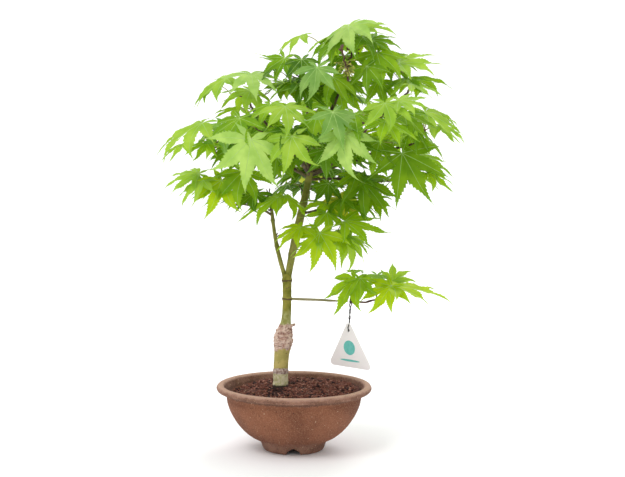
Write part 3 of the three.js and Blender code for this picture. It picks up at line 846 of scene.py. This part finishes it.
# The big leaves that lead each spray. Place is a share of the mass's half sizes from its middle: across,
# deep and up. Then the way it points, in degrees from +X, its pitch in radians, size and tint, how far it
# is rolled over its own length, and how far it bends down.
LEADING = {
    "crown_top": (
        ((-0.10, -0.5, 0.80), -96, 0.45, 0.98, "pale", -0.42, 0.7),
        ((0.00, -0.2, 0.82), -8, 0.0, 0.98, "light", -0.25, 0.25),
        ((0.30, -0.2, 0.20), 0, 0.05, 0.7, "mid", -0.5, 0.3),
        ((-0.90, 0.2, 0.45), 190, 0.35, 0.75, "light", 0.1, 0.7),
        ((0.40, -0.4, -0.40), -75, 0.95, 0.85, "fresh", -0.2, 0.4),
        ((-0.35, -0.5, 0.10), -150, 0.7, 0.75, "mid", 0.3, 0.5),
        ((0.60, 0.1, -0.60), -30, 0.6, 0.8, "mid", -0.4, 0.4),
        ((0.22, -0.6, -1.05), -100, 1.1, 0.7, "mid", 0.0, 0.4),
        ((-0.15, 0.3, -0.50), -110, 0.7, 0.8, "deep", 0.0, 0.5)),
    "crown_heart": (
        ((-0.50, -0.3, 1.05), -140, 1.0, 0.66, "mid", 0.5, 0.3),
        ((-0.70, 0.1, 0.85), 120, -0.5, 0.55, "mid", -0.3, 0.3),
        ((-0.11, -0.4, 1.00), -90, 0.95, 0.62, "deep", 0.0, 0.4),
        ((1.00, -0.2, -0.10), -70, 0.9, 0.6, "mid", 0.0, 0.4),
        ((0.24, -0.9, 0.55), -105, 0.95, 0.8, "cool", 0.0, 0.45),
        ((-0.10, -0.4, -0.35), -60, 0.8, 0.75, "deep", -0.1, 0.5),
        ((0.60, -0.5, 0.10), -55, 0.8, 0.8, "fresh", -0.2, 0.5),
        ((-0.75, -0.3, 0.50), 150, 0.2, 0.7, "deep", 0.3, 0.5)),
    "crown_upper_left": (
        ((-0.40, -0.2, 0.90), 205, 0.45, 1.0, "light", 0.0, 0.6),
        ((0.05, -0.6, 1.15), -85, 0.4, 0.95, "pale", 0.0, 0.6),
        ((-0.60, 0.3, 0.50), 185, 0.5, 0.7, "fresh", 0.2, 0.5),
        ((0.60, 0.1, 0.70), -50, 0.5, 0.8, "mid", -0.1, 0.5),
        ((0.41, -1.4, -0.59), -110, 0.6, 0.75, "fresh", 0.0, 0.5)),
    "crown_left": (
        ((-0.11, -0.4, 1.00), 208, 0.4, 1.22, "light", 0.1, 0.65),
        ((0.35, -0.3, 0.90), -100, 0.8, 0.85, "cool", 0.0, 0.5),
        ((0.20, 0.2, 0.60), 195, 0.4, 0.75, "mid", 0.2, 0.5),
        ((0.50, -0.5, -0.20), -125, 0.6, 0.75, "mid", 0.1, 0.5)),
    "crown_low_left": (
        ((-0.46, 0.0, 0.96), 185, 0.1, 0.9, "light", 0.4, 0.5),
        ((0.44, -0.6, 1.20), -112, 1.05, 0.9, "fresh", 0.1, 0.3),
        ((0.02, -0.5, 0.65), -118, 0.95, 0.92, "lime", 0.2, 0.35),
        ((-0.35, -0.4, 0.60), 205, 0.6, 0.75, "light", 0.2, 0.5)),
    "crown_front": (
        ((-0.58, -0.8, -0.34), -103, 1.08, 1.18, "pale", 0.5, 0.4),
        ((0.02, -0.3, 0.84), -75, 0.6, 0.85, "light", 0.0, 0.5),
        ((0.15, -0.7, -0.22), -105, 1.0, 0.85, "light", 0.0, 0.4),
        ((-0.80, -0.4, 0.40), -130, 0.7, 0.85, "mid", 0.1, 0.45),
        ((0.60, -0.2, 0.50), -110, 0.8, 0.75, "fresh", 0.0, 0.4),
        ((0.75, -0.5, -0.70), -85, 1.0, 0.65, "deep", 0.0, 0.4),
        ((-0.15, 0.6, -1.05), -100, 1.2, 0.6, "mid", 0.0, 0.4)),
    "crown_front_right": (
        ((-0.56, -0.9, -0.68), -88, 1.0, 0.98, "pale", -0.1, 0.3),
        ((-0.81, -0.8, 0.25), -62, 0.8, 0.9, "cool", 0.0, 0.4),
        ((0.27, -0.6, 0.65), -75, 0.65, 0.85, "light", -0.2, 0.4),
        ((0.55, -0.5, 0.75), -20, 0.1, 0.7, "light", -0.5, 0.3),
        ((0.70, 0.0, 0.20), -40, 0.6, 0.85, "mid", -0.2, 0.4)),
    "crown_right": (
        ((-0.05, -0.5, 0.84), -32, 0.55, 1.05, "light", -0.2, 0.4),
        ((-0.30, -0.2, 0.20), -20, 0.9, 0.8, "mid", -0.3, 0.4),
        ((0.10, 0.3, 1.00), 10, 0.3, 0.8, "fresh", -0.2, 0.4)),
    "crown_upper_right": (
        ((-0.36, -0.2, 0.97), 3, -0.12, 0.98, "light", -0.35, 0.3),
        ((-0.08, -0.6, -0.27), -8, 0.2, 0.75, "light", -0.2, 0.4),
        ((-0.90, -0.3, -0.10), -70, 0.8, 0.75, "mid", -0.1, 0.5),
        ((-0.60, 0.2, 0.60), 150, 0.3, 0.7, "mid", 0.1, 0.5)),
    "crown_low_right": (
        ((-0.22, -0.6, 1.09), -30, 0.92, 1.3, "mid", -0.6, 0.25),
        ((0.20, 0.0, 0.90), -10, 0.35, 0.85, "fresh", -0.3, 0.4)),
    "crown_inner_right": (
        ((-0.15, -0.6, 1.00), -28, 0.68, 1.05, "mid", -0.45, 0.55),
        ((-1.05, -0.2, 0.85), -90, 0.8, 0.6, "deep", 0.0, 0.4),
        ((-0.75, 0.0, -0.20), -60, 0.9, 0.75, "yellow", 0.0, 0.4)),
    "side_stem_pad": (
        ((0.30, -0.3, 1.36), 190, 0.42, 1.05, "fresh", 0.2, 0.5),
        ((0.55, -0.1, 1.40), -15, 0.55, 0.75, "fresh", -0.1, 0.5)),
    "leader_pad": (
        ((-0.15, -0.1, 1.20), -80, 0.5, 0.75, "fresh", 0.0, 0.5),
        ((-0.68, -0.5, 0.47), -140, 0.5, 0.78, "lime", 0.2, 0.5),
        ((-0.29, -0.8, 0.20), -106, 1.0, 0.9, "lime", 0.0, 0.35),
        ((0.23, -0.4, 0.79), -15, 0.15, 0.98, "fresh", -0.4, 0.4),
        ((0.30, 0.3, -0.20), -50, 1.1, 0.75, "light", 0.0, 0.5)),
    "low_bough_pad": (
        ((-0.62, -0.3, 0.80), -148, 0.88, 0.92, "fresh", 0.3, 0.6),
        ((-0.55, -0.5, 0.90), -75, 0.95, 0.55, "fresh", 0.0, 0.5),
        ((-0.52, 0.3, 1.15), 160, -0.1, 0.42, "mid", 0.1, 0.4),
        ((-0.28, 0.0, 1.00), -90, 0.8, 0.48, "cool", 0.0, 0.5),
        ((-0.04, 0.3, 0.50), 40, -0.55, 0.6, "light", -0.5, 0.3),
        ((-0.04, -0.3, 0.35), -6, 0.1, 1.28, "lime", -0.15, 0.2),
        ((-0.08, -0.6, 0.43), -145, 0.75, 0.78, "lime", 0.5, 0.3)),
}


def make_flowers(rng, plant):
    """The young shoot under the top: dark buds at its end, and a cluster of small green flowers."""
    middle, half = half_box("crown_top")
    foot = middle + half * (-0.10, -0.60, -1.90)
    tip = middle + half * (-0.22, -1.15, -0.28)
    stem = plant.twig(rng, foot, UP, tip, (0.0012, 0.0008), 12)
    buds, flowers = Shape(), Shape()
    for _ in range(9):
        way = unit(np.array([rng.gauss(0, 0.6), rng.gauss(0, 0.6), 0.8]))
        start = tip - UP * rng.uniform(0, 0.006)
        bud = [start + way * t for t in (0, 0.0012, 0.0026, 0.0040, 0.0052)]
        buds.tube(bud, [0.0004, 0.0011, 0.0013, 0.0009, 0.0002], 8)
    for _ in range(48):
        start = stem[2] + (stem[6] - stem[2]) * rng.random()
        way = unit(np.array([rng.gauss(0, 1), rng.gauss(0, 0.8) - 0.3, rng.gauss(0, 0.8)]))
        end = start + way * rng.uniform(0.004, 0.012)
        plant.stalks.tube([start, (start + end) / 2 + UP * 0.001, end], 0.00025, 4)
        bead = [end + way * t for t in (-0.0008, 0.0, 0.0010, 0.0018)]
        flowers.tube(bead, [0.0002, 0.0009, 0.0009, 0.0002], 7)
    finish = plain_finish("bud scale", (0.10, 0.045, 0.030), (0.17, 0.085, 0.05), 0.55)
    buds.make("buds", finish, "twig")
    finish = plain_finish("flower", (0.36, 0.46, 0.03), (0.45, 0.42, 0.09), 0.55)
    flowers.make("flowers", finish, "leaf")


# ---- Bark ----

def ridged(path, depth, per_metre, rings=(), stretch=0.35):
    """Relief for a limb: uneven bark, with a raised ring at each level in rings."""
    def bump(angles, row):
        x, y, z = path[row]
        swell = sum(size * math.exp(-((z - level) / 0.0016) ** 2) for level, size in rings)
        out = [noise.noise(Vector((math.cos(a) * 4 + x * 90, math.sin(a) * 4 + y * 90,
                                   z * per_metre * stretch))) for a in angles]
        return depth * np.array(out) + swell
    return bump


def make_trunk(trunk_path, trunk_radii, levels):
    """The trunk: swollen knotty graft, ring scars, and a flare into the soil."""
    path, radii = resample(trunk_path, trunk_radii, 300)
    graft_low, graft_high = levels["graft"]

    def bump(angles, row):
        x, y, z = path[row]
        knot = smoothstep(z, graft_low - 0.004, graft_low + 0.004)
        knot = knot * (1 - smoothstep(z, graft_high - 0.004, graft_high + 0.006))
        out = []
        for a in angles:
            c, s = math.cos(a), math.sin(a)
            fine = noise.noise(Vector((c * 5, s * 5, z * 260))) * 0.00022
            fine += noise.noise(Vector((c * 14, s * 14, z * 900))) * 0.00014
            lump = noise.noise(Vector((c * 1.8 + 3, s * 1.8, z * 120))) * 0.0016
            fold = abs(noise.noise(Vector((c * 2.2 + z * 140, s * 2.2 + 7, z * 260)))) * -0.0040
            crease = abs(noise.noise(Vector((c * 7 + z * 200, s * 7 + 3, z * 620)))) * -0.0009
            out.append(fine + knot * (lump + fold + crease + 0.0009))
        rings = sum(size * math.exp(-((z - level) / width) ** 2) for level, size, width in levels["rings"])
        return np.array(out) + rings

    shape = Shape()
    shape.tube(path, radii, 72, bump)
    side = path[nearest_on(path, np.array([*path[0][:2], graft_high + 0.001]))]
    stub = side + np.array([0.0045, -0.001, 0])
    stub_path = bezier(stub, stub + [0.0035, 0, 0.0003], stub + [0.0055, 0, 0.001],
                       stub + [0.0072, 0, 0.0022], 8)
    shape.tube(stub_path, [0.0022, 0.0021, 0.0019, 0.0018, 0.0017, 0.0017, 0.0016, 0.0012], 12)
    ground = levels["ground"]
    look = trunk_finish(graft_low, graft_high, ground, levels["scars"])
    return shape.make("trunk_bark", look, "bark", "trunk")


# ---- Bowl, soil, tag ----

FOOT_COUNT = 3
NOTCH_HALF = 0.0084          # half the width of the gap between two feet
NOTCH_HEIGHT = 0.0074


def arc(centre, half_width, half_height, start, end, steps):
    """Points of an ellipse's arc, in degrees, as (radius, level)."""
    turns = np.radians(np.linspace(start, end, steps))
    return [(centre[0] + half_width * math.cos(t), centre[1] + half_height * math.sin(t)) for t in turns]


def quarter(inner, outer, low, high, power, steps):
    """A quarter superellipse from (inner, low) out and up to (outer, high)."""
    turns = np.linspace(math.pi / 2, 0, steps)
    return [(inner + (outer - inner) * math.cos(t) ** (2 / power),
             high + (low - high) * math.sin(t) ** (2 / power)) for t in turns]


def notch_height(turn, radius):
    """How high the gap between two feet is at a turn about the bowl's axis."""
    nearest = min((abs(math.remainder(turn + math.pi / 2 - k * 2 * math.pi / FOOT_COUNT, 2 * math.pi))
                   for k in range(FOOT_COUNT)))
    across = nearest * radius / NOTCH_HALF
    shoulder = 0.68 * math.sqrt(max(0.0, 1 - across ** 3))
    peak = 0.32 * max(0.0, 1 - across / 0.6) ** 1.3
    return NOTCH_HEIGHT * (shoulder + peak)


def make_bowl():
    """The bowl: turned body with a rolled lip on a notched foot ring, slightly uneven as thrown."""
    r, h = BOWL_RADIUS * BOWL_SPREAD, BOWL_HEIGHT + BOWL_RISE
    foot_top = 0.156 * h
    lip = (0.0500 * r, 0.0520 * h)
    profile = [(0.075 * r, 0.117 * h), (0.294 * r, 0.117 * h), (0.294 * r, 0.0), (0.35 * r, 0.0)]
    profile += arc((0.350 * r, 0.060 * h), 0.052 * r, 0.060 * h, -80, -12, 8)
    profile += [(0.424 * r, 0.120 * h), (0.440 * r, 0.152 * h), (0.450 * r, 0.166 * h)]
    profile += quarter(0.455 * r, 0.868 * r, 0.170 * h, 0.80 * h, 1.53, 44)
    profile += [(0.872 * r, 0.828 * h), (0.880 * r, 0.852 * h),
                (0.894 * r, 0.874 * h), (0.915 * r, 0.889 * h)]
    profile += arc((r - lip[0], h - lip[1]), lip[0], lip[1], -62, 176, 24)
    profile += quarter(0.078 * r, 0.832 * r, 0.214 * h, 0.831 * h, 2.1, 34)[::-1]
    profile.append(profile[0])
    around = 224
    grid = np.zeros((len(profile) - 1, around, 3))
    for i, (radius, level) in enumerate(profile[:-1]):
        for j in range(around):
            turn = 2 * math.pi * j / around
            c, s = math.cos(turn), math.sin(turn)
            z = level
            if level < foot_top and radius > 0.28 * r:
                lift = notch_height(turn, 0.36 * r)
                z = lift + level * (1 - lift / foot_top)
            wave = noise.noise(Vector((c * 1.4, s * 1.4, z * 22))) * 0.0007
            turning = 0.00012 * math.sin(z * 1900 + 1.5 * noise.noise(Vector((c, s, z * 60))))
            dent = noise.noise(Vector((c * 9, s * 9, z * 130))) * 0.00016
            out = radius + (wave + turning + dent) * min(1, radius / 0.03)
            out = min(out, r)
            grid[i, j] = (BOWL_MIDDLE.x + out * c, BOWL_MIDDLE.y + out * s, max(z, 0))
    shape = Shape()
    shape.add(grid.reshape(-1, 3), ring_faces(len(grid), around, True)[:, ::-1])
    return shape.make("bowl_clay", clay_finish(), "clay", "bowl")


def soil_level(x, y, foot):
    """The soil's surface: mounded, lumpy, and sunk a little round the trunk."""
    right, back = (x - BOWL_MIDDLE.x) / SOIL_RADIUS, (y - BOWL_MIDDLE.y) / SOIL_RADIUS
    share = math.hypot(right, back)
    level = SOIL_HIGH.z - 0.0050 + 0.0040 * (1 - share * share) + 0.0020 * right + 0.0010 * back
    level -= 0.0035 * float(smoothstep(-right, 0.62, 1.0))
    level += noise.noise(Vector((x * 60, y * 60, 0))) * 0.0018
    level += noise.noise(Vector((x * 190, y * 190, 4))) * 0.0015
    level += noise.noise(Vector((x * 480, y * 480, 8))) * 0.0010
    away = math.hypot(x - foot[0], y - foot[1])
    level -= 0.0022 * math.exp(-((away - 0.009) / 0.006) ** 2)
    return min(level, SOIL_HIGH.z + 0.001)


def scatter(rng, share):
    """A place on the soil, evenly spread out to a share of its radius."""
    radius = SOIL_RADIUS * share * math.sqrt(rng.random())
    turn = rng.uniform(0, 2 * math.pi)
    return BOWL_MIDDLE.x + radius * math.cos(turn), BOWL_MIDDLE.y + radius * math.sin(turn)


def make_soil_bed(foot):
    """The soil's lumpy surface, closed by a flat underside."""
    rings, around = 74, 220
    centre_x, centre_y = BOWL_MIDDLE.x, BOWL_MIDDLE.y
    points = []
    for i in range(rings):
        for j in range(around):
            turn = 2 * math.pi * j / around
            radius = SOIL_RADIUS * (i + 0.5) / (rings - 0.5) * 1.03
            x = centre_x + radius * math.cos(turn)
            y = centre_y + radius * math.sin(turn)
            points.append((x, y, soil_level(x, y, foot)))
    deep = SOIL_HIGH.z - 0.016
    points += [(centre_x + (x - centre_x) * 0.93, centre_y + (y - centre_y) * 0.93, deep)
               for x, y, _ in points[-around:]]
    top, bottom = len(points), len(points) + 1
    points += [(centre_x, centre_y, soil_level(centre_x, centre_y, foot)), (centre_x, centre_y, deep)]
    bed = Shape()
    bed.add(points, ring_faces(rings + 1, around, False))
    ring = np.arange(around)
    after = (ring + 1) % around
    bed.faces.append(np.stack([ring, after, np.full(around, top)], 1))
    bed.faces.append(np.stack([after + rings * around, ring + rings * around, np.full(around, bottom)], 1))
    bed.make("soil_bed", soil_finish("soil bed", (0.030, 0.009, 0.006), (0.12, 0.038, 0.025)), "soil", "soil")


def make_crumbs(rng, foot):
    """Loose crumbs of four kinds: how many, how big, and their two colours."""
    ball = bmesh.new()
    bmesh.ops.create_icosphere(ball, subdivisions=1, radius=1)
    ball_points = np.array([v.co for v in ball.verts])
    ball_faces = np.array([[v.index for v in f.verts] for f in ball.faces])
    ball.free()
    kinds = {
        "soil_crumbs": (1500, (0.0008, 0.0022), (0.105, 0.033, 0.022), (0.20, 0.072, 0.048)),
        "soil_dark_crumbs": (620, (0.0008, 0.0024), (0.016, 0.007, 0.006), (0.045, 0.015, 0.011)),
        "soil_grit": (620, (0.0006, 0.0016), (0.27, 0.115, 0.08), (0.40, 0.20, 0.14)),
        "soil_flecks": (150, (0.0004, 0.0009), (0.50, 0.33, 0.22), (0.64, 0.48, 0.36)),
    }
    for name, (count, sizes, first, second) in kinds.items():
        shape = Shape()
        for _ in range(count):
            x, y = scatter(rng, 0.965)
            # Almost half the dark crumbs are heaped in front of the trunk's foot, a dark heap that paints the
            # shade in the hollow there.
            if name == "soil_dark_crumbs" and rng.random() < 0.45:
                x = foot[0] + rng.gauss(-0.002, 0.006)
                y = foot[1] - 0.007 - abs(rng.gauss(0, 0.018))
            size = rng.uniform(*sizes)
            jolt = np.array([[rng.uniform(0.72, 1.2)] for _ in ball_points])
            squash = np.array([rng.uniform(0.7, 1.3), rng.uniform(0.7, 1.3), rng.uniform(0.5, 0.9)])
            crumb = ball_points * jolt * squash * size
            shape.add(crumb + [x, y, soil_level(x, y, foot) + size * 0.25], ball_faces)
        finish = soil_finish(name.replace("_", " "), first, second)
        shape.make(name, finish, "soil", smooth=False)


def make_fibres(rng, foot):
    """A few pale curled fibres on the soil."""
    fibres = Shape()
    for _ in range(170):
        x, y = scatter(rng, 0.93)
        way = rng.uniform(0, 2 * math.pi)
        length = rng.uniform(0.003, 0.009)
        curl = rng.uniform(-0.9, 0.9)
        path = []
        for t in np.linspace(0, 1, 7):
            way += curl / 6
            x += math.cos(way) * length / 6
            y += math.sin(way) * length / 6
            path.append((x, y, soil_level(x, y, foot) + 0.0005 + 0.0006 * math.sin(t * math.pi)))
        fibres.tube(path, 0.00016, 4)
    finish = plain_finish("soil fibre", (0.36, 0.20, 0.14), (0.20, 0.09, 0.06), 0.85)
    fibres.make("soil_fibres", finish, "soil")


def make_soil(rng, foot):
    """The soil bed, its loose crumbs and a few pale bits of fibre."""
    make_soil_bed(foot)
    make_crumbs(rng, foot)
    make_fibres(rng, foot)


def inset(points, middle, share):
    """Points drawn in towards a middle."""
    return middle + (points - middle) * share


def triangle(side, corner, steps):
    """A rounded triangle with three equal sides, its top corner's tip at the origin."""
    reach = side / 2 - corner
    low = corner - side * math.sqrt(3) / 2
    points = []
    for centre, start in (((0, -corner), 150), ((reach, low), 30), ((-reach, low), -90)):
        for turn in np.radians(np.linspace(start, start - 120, steps)):
            points.append((centre[0] + corner * math.cos(turn), centre[1] + corner * math.sin(turn)))
    return np.array(points)


class Card:
    """The plane of the card, its outline and its hole, from its solid."""

    def __init__(self):
        corners = np.array([v.co for v in NODES["tag"].data.vertices])
        self.middle = corners.mean(0)
        plate = corners - self.middle
        axes = np.linalg.svd(plate, full_matrices=False)[2]
        self.normal = axes[2] if axes[2][1] < 0 else -axes[2]
        across = unit(np.cross(self.normal, UP))
        self.across = across if across[0] > 0 else -across
        up = unit(np.cross(self.across, self.normal))
        self.up = up if up[2] > 0 else -up
        self.depth = np.abs(plate @ self.normal).max()
        apex = np.array([0.0, (plate @ self.up).max()])
        self.hole = apex - [0, HOLE_DOWN]
        self.outline = triangle(np.ptp(plate @ self.across) + 0.0002, 0.0045, 14) + apex
        self.centre = self.outline.mean(0)

    def lift(self, points, off):
        """Flat points of the card stood up in its plane, off its middle by a distance."""
        flat = np.outer(points[:, 0], self.across) + np.outer(points[:, 1], self.up)
        return self.middle + flat + self.normal * off


def make_card(card):
    """The card, with a narrow chamfer round its edge and a round hole."""
    edge = 0.00022
    outline, depth = card.outline, card.depth
    count = len(outline)
    ring_turns = np.linspace(math.radians(90), math.radians(90 - 360), count, endpoint=False)
    opening = card.hole + 0.0018 * np.stack([np.cos(ring_turns), np.sin(ring_turns)], 1)
    narrow = inset(outline, card.centre, 1 - edge / 0.02)
    loops = ((opening, -depth), (narrow, -depth), (outline, -depth + edge),
             (outline, depth - edge), (narrow, depth), (opening, depth))
    shape = Shape()
    shape.add(np.concatenate([card.lift(points, off) for points, off in loops]),
              ring_faces(len(loops), count, True))
    finish = plain_finish("tag card", (0.955, 0.925, 0.91), (0.97, 0.925, 0.92), 0.5, 90.0)
    shape.make("tag_card", finish, "tag", "tag", smooth=False)


def make_print(card):
    """A plain disc and a plain bar under it."""
    sides = 40
    proud = card.depth + 0.00005
    ring = np.arange(sides)
    turns = np.linspace(0, 2 * math.pi, sides, endpoint=False)
    round_edge = np.stack([np.cos(turns), np.sin(turns)], 1)
    shape = Shape()
    for down, half in ((0.0045, (0.0088, 0.0088)), (-0.0110, (0.0150, 0.0013))):
        mark_middle = card.centre + [0, down]
        points = np.concatenate([mark_middle + round_edge * half, [mark_middle]])
        shape.add(card.lift(points, proud), np.stack([(ring + 1) % sides, ring, np.full(sides, sides)], 1))
    finish = plain_finish("tag print", (0.13, 0.55, 0.49), (0.17, 0.60, 0.54), 0.45)
    shape.make("tag_print", finish, "tag", smooth=False)


def make_wire(card, wire_top):
    """Two strands from the card's hole, twisted together, and a loop over the bough."""
    wire = Shape()
    eye = card.lift(np.array([card.hole]), 0)[0]
    top = np.array([wire_top[0], wire_top[1], wire_top[2] + 0.0006])
    for phase, side in ((0, 0.0012), (math.pi, -0.0012)):
        aside = card.normal * side
        path = [eye + aside * 0.1 - UP * 0.0012]
        for t in np.linspace(0, 1, 60):
            twist = phase + t * 2 * math.pi * 4.5
            strand = eye + aside + (top - eye - aside) * t - aside * smoothstep(t, 0.18, 0.36)
            path.append(strand + 0.0004 * np.array([math.cos(twist), math.sin(twist), 0]))
        wire.tube(path, WIRE_RADIUS, 8)
    loop = []
    turns = 2 * math.pi * 2.25
    for turn in np.linspace(0, turns, 48):
        loop.append((wire_top[0] - 0.001 + 0.002 * turn / turns, wire_top[1] + 0.0023 * math.sin(turn),
                     wire_top[2] + 0.0019 - 0.0023 * math.cos(turn)))
    wire.tube(loop, WIRE_RADIUS, 8)
    finish = plain_finish("wire", (0.022, 0.016, 0.016), (0.045, 0.034, 0.032), 0.5)
    wire.make("hanging_wire", finish, "wire", "tag_wire")


def hang_tag(wire_top):
    """The card with its print, and its wire."""
    card = Card()
    make_card(card)
    make_print(card)
    make_wire(card, wire_top)


# ---- Light, floor and camera ----

def add_camera():
    """Looks at the tree from the front and a little above."""
    aim = Vector((BOWL_MIDDLE.x + 0.0195, BOWL_MIDDLE.y, 0.250))
    distance = 1.7
    rise = math.radians(5)
    data = bpy.data.cameras.new("camera")
    data.lens = 83.7
    data.sensor_width = 36
    camera = bpy.data.objects.new("camera", data)
    bpy.context.scene.collection.objects.link(camera)
    camera.location = aim + distance * Vector((0, -math.cos(rise), math.sin(rise)))
    camera.rotation_euler = (math.pi / 2 - rise, math.radians(-0.4), 0)
    bpy.context.scene.camera = camera


def add_area(name, place_at, aim, size, power, colour=(1, 1, 1)):
    """A soft square light."""
    data = bpy.data.lights.new(name, "AREA")
    data.size = size
    data.energy = power
    data.color = colour
    light = bpy.data.objects.new(name, data)
    light.location = place_at
    light.rotation_euler = (Vector(aim) - Vector(place_at)).to_track_quat("-Z", "Y").to_euler()
    bpy.context.scene.collection.objects.link(light)


def add_studio():
    """A pale floor that sweeps up into a backdrop, with soft light all round."""
    profile = [(-3.0, 0.0), (2.2, 0.0)]
    profile += [(2.2 + 1.2 * math.sin(t), 1.2 - 1.2 * math.cos(t)) for t in np.linspace(0.1, math.pi / 2, 14)]
    profile += [(3.4, 5.0)]
    points = [(x, y, z) for x in (-5.0, 5.0) for y, z in profile]
    count = len(profile)
    faces = [(i, i + 1, count + i + 1, count + i) for i in range(count - 1)]
    mesh = bpy.data.meshes.new("sweep")
    mesh.from_pydata(points, [], [face[::-1] for face in faces])
    mesh.shade_smooth()
    sweep = bpy.data.objects.new("sweep", mesh)
    bpy.context.scene.collection.objects.link(sweep)
    paper = Finish("paper sweep", 0.9)
    paper.shader.inputs["Base Color"].default_value = (0.955, 0.955, 0.96, 1)
    mesh.materials.append(paper.material)
    world = bpy.data.worlds.new("studio")
    world.use_nodes = True
    world.node_tree.nodes["Background"].inputs["Color"].default_value = (1, 1, 1, 1)
    world.node_tree.nodes["Background"].inputs["Strength"].default_value = 0.95
    bpy.context.scene.world = world
    add_area("key", (-0.8, -1.2, 1.8), (0, 0, 0.3), 0.9, 17)
    add_area("back", (0.5, 1.4, 1.5), (0, 0, 0.35), 1.0, 12)
    add_area("backdrop", (0, 0.9, 1.9), (0, 3.4, 1.0), 1.6, 24)
    bpy.context.scene.view_settings.view_transform = "Standard"


# ---- The whole plant ----

def make_stems(trunk_path, leader, side_stem):
    """The leader and the side stem, each with three rings."""
    stems = Shape()
    for (path, radii), level, off in ((leader, 0.26, FORK_SPREAD[0]), (side_stem, 0.27, FORK_SPREAD[1])):
        shift = np.array([off, 0, 0])
        fading = np.linspace(1, 0, len(path)) ** 4
        path = np.vstack([trunk_path[-3] + shift, path + np.outer(fading, shift)])
        radii = np.concatenate([[radii[0] * 0.9], radii]) * np.linspace(1.12, 1.0, len(radii) + 1)
        path, radii = resample(path, radii, 150)
        rings = ((level, 0.0006), (level + 0.031, 0.0005), (level - 0.03, 0.0005))
        stems.tube(path, radii, 40, ridged(path, 0.0003, 300, rings))
    look = bark_finish("stem bark", (0.145, 0.150, 0.014), (0.27, 0.255, 0.055), (0.09, 0.05, 0.035), 90.0)
    stems.make("stem_bark", look, "bark", "leader", "side_stem")


def bough_wood(bough, stem_points):
    """A bough's middle and radius, from inside the nearest stem to its end."""
    middle, _ = half_box(bough)
    root = stem_points[nearest_on(stem_points, middle)]
    path, radii = centreline(bough, root, 10)
    root = stem_points[nearest_on(stem_points, path[0])]
    whole = np.vstack([root * 0.6 + path[0] * 0.4, path])
    return resample(whole, np.concatenate([[radii[0] * 1.5], radii]), 44)


def grow_crown(plant, stem_points, axis_point):
    """Every bough, with what grows on it. The low bough's wood is a shape of its own."""
    boughs, low_bough = Shape(), Shape()
    limbs = []
    for number, mass in enumerate(sorted(LOOKS)):
        bough = BOUGH_OF.get(mass, mass.replace("crown_", "bough_"))
        path, radii = bough_wood(bough, stem_points)
        if bough == "bough_low":
            wood = low_bough
        else:
            wood = boughs
            limbs.append(bough)
        wood.tube(path, radii, 14, ridged(path, 0.00022, 420))
        look = dict(BASE_LOOK, **LOOKS[mass])
        rng = random.Random(100 + number)
        grow_mass(plant, rng, mass, path, look, axis_point)
        grow_inner(plant, rng, path, look)
    return boughs, low_bough, limbs


def make_wood(boughs, low_bough, limbs):
    """The boughs' bark: greyer and paler on the low one."""
    look = bark_finish("bough bark", (0.070, 0.040, 0.028), (0.17, 0.13, 0.06), (0.04, 0.02, 0.015), 90.0)
    boughs.make("bough_bark", look, "bark", *limbs)
    look = bark_finish("low bough bark", (0.24, 0.22, 0.10), (0.34, 0.29, 0.16), (0.12, 0.07, 0.05), 90.0)
    low_bough.make("low_bough_bark", look, "bark", "bough_low")


def make_foliage(plant):
    """Twigs, stalks, veins, and the blades in one piece for each tint."""
    look = bark_finish("twig bark", (0.085, 0.035, 0.035), (0.17, 0.09, 0.07), (0.04, 0.02, 0.02), 300.0)
    plant.twigs.make("twigs", look, "twig")
    look = plain_finish("leaf stalk", (0.34, 0.36, 0.08), (0.40, 0.27, 0.12), 0.5)
    plant.stalks.make("leaf_stalks", look, "leaf")
    look = plain_finish("leaf vein", (0.34, 0.54, 0.11), (0.40, 0.60, 0.16), 0.5)
    plant.veins.make("leaf_veins", look, "leaf")
    masses = list(LOOKS)
    for tint, shape in plant.blades.items():
        if shape.count:
            shape.make("leaves_" + tint, leaf_finish(tint + " leaf", *TINTS[tint]), "leaf", *masses)
            masses = []


def main():
    """Builds every piece."""
    add_camera()
    add_studio()
    trunk_path, trunk_radii = centreline("trunk", np.array([0, 0, 0.0]), 30)
    top = trunk_path[-1]
    leader = centreline("leader", top, 16)
    side_stem = centreline("side_stem", top, 12)
    leader_path, side_path = leader[0], side_stem[0]
    low_path, _ = centreline("bough_low", trunk_path[len(trunk_path) * 3 // 4], 14)
    ground = SOIL_HIGH.z
    scars = (low_path[0][2], top[2] - 0.008)
    levels = {"graft": GRAFT, "ground": ground, "scars": scars,
              "rings": ((ground + 0.0165, 0.0006, 0.0015), (scars[0], 0.0009, 0.0016),
                        (scars[1], 0.0009, 0.0018), (top[2] - 0.001, -0.0012, 0.003))}
    above = smoothstep(trunk_path[:, 2], GRAFT[1] - 0.002, GRAFT[1] + 0.012)
    make_trunk(trunk_path, trunk_radii * (1 + STEM_SWELL * above), levels)
    make_bowl()
    make_soil(random.Random(11), trunk_path[2])
    hang_tag(low_path[-1])
    make_stems(trunk_path, leader, side_stem)

    plant = Foliage()
    wood = grow_crown(plant, np.vstack([trunk_path, leader_path, side_path]), leader_path[-1])
    rng = random.Random(7)
    plant.tuft(rng, side_path[-1] - [0, 0, 0.002], (-0.2, -0.3, 1), 7, 0.010)
    plant.tuft(rng, side_path[6], (0.8, -0.5, 0.6), 2, 0.012)
    plant.tuft(rng, leader_path[4], (0.9, -0.4, 0.5), 2, 0.009)
    plant.tuft(rng, leader_path[-1], (0, -0.5, 0.8), 6, 0.016)
    make_flowers(random.Random(23), plant)
    make_wood(*wood)
    make_foliage(plant)


main()
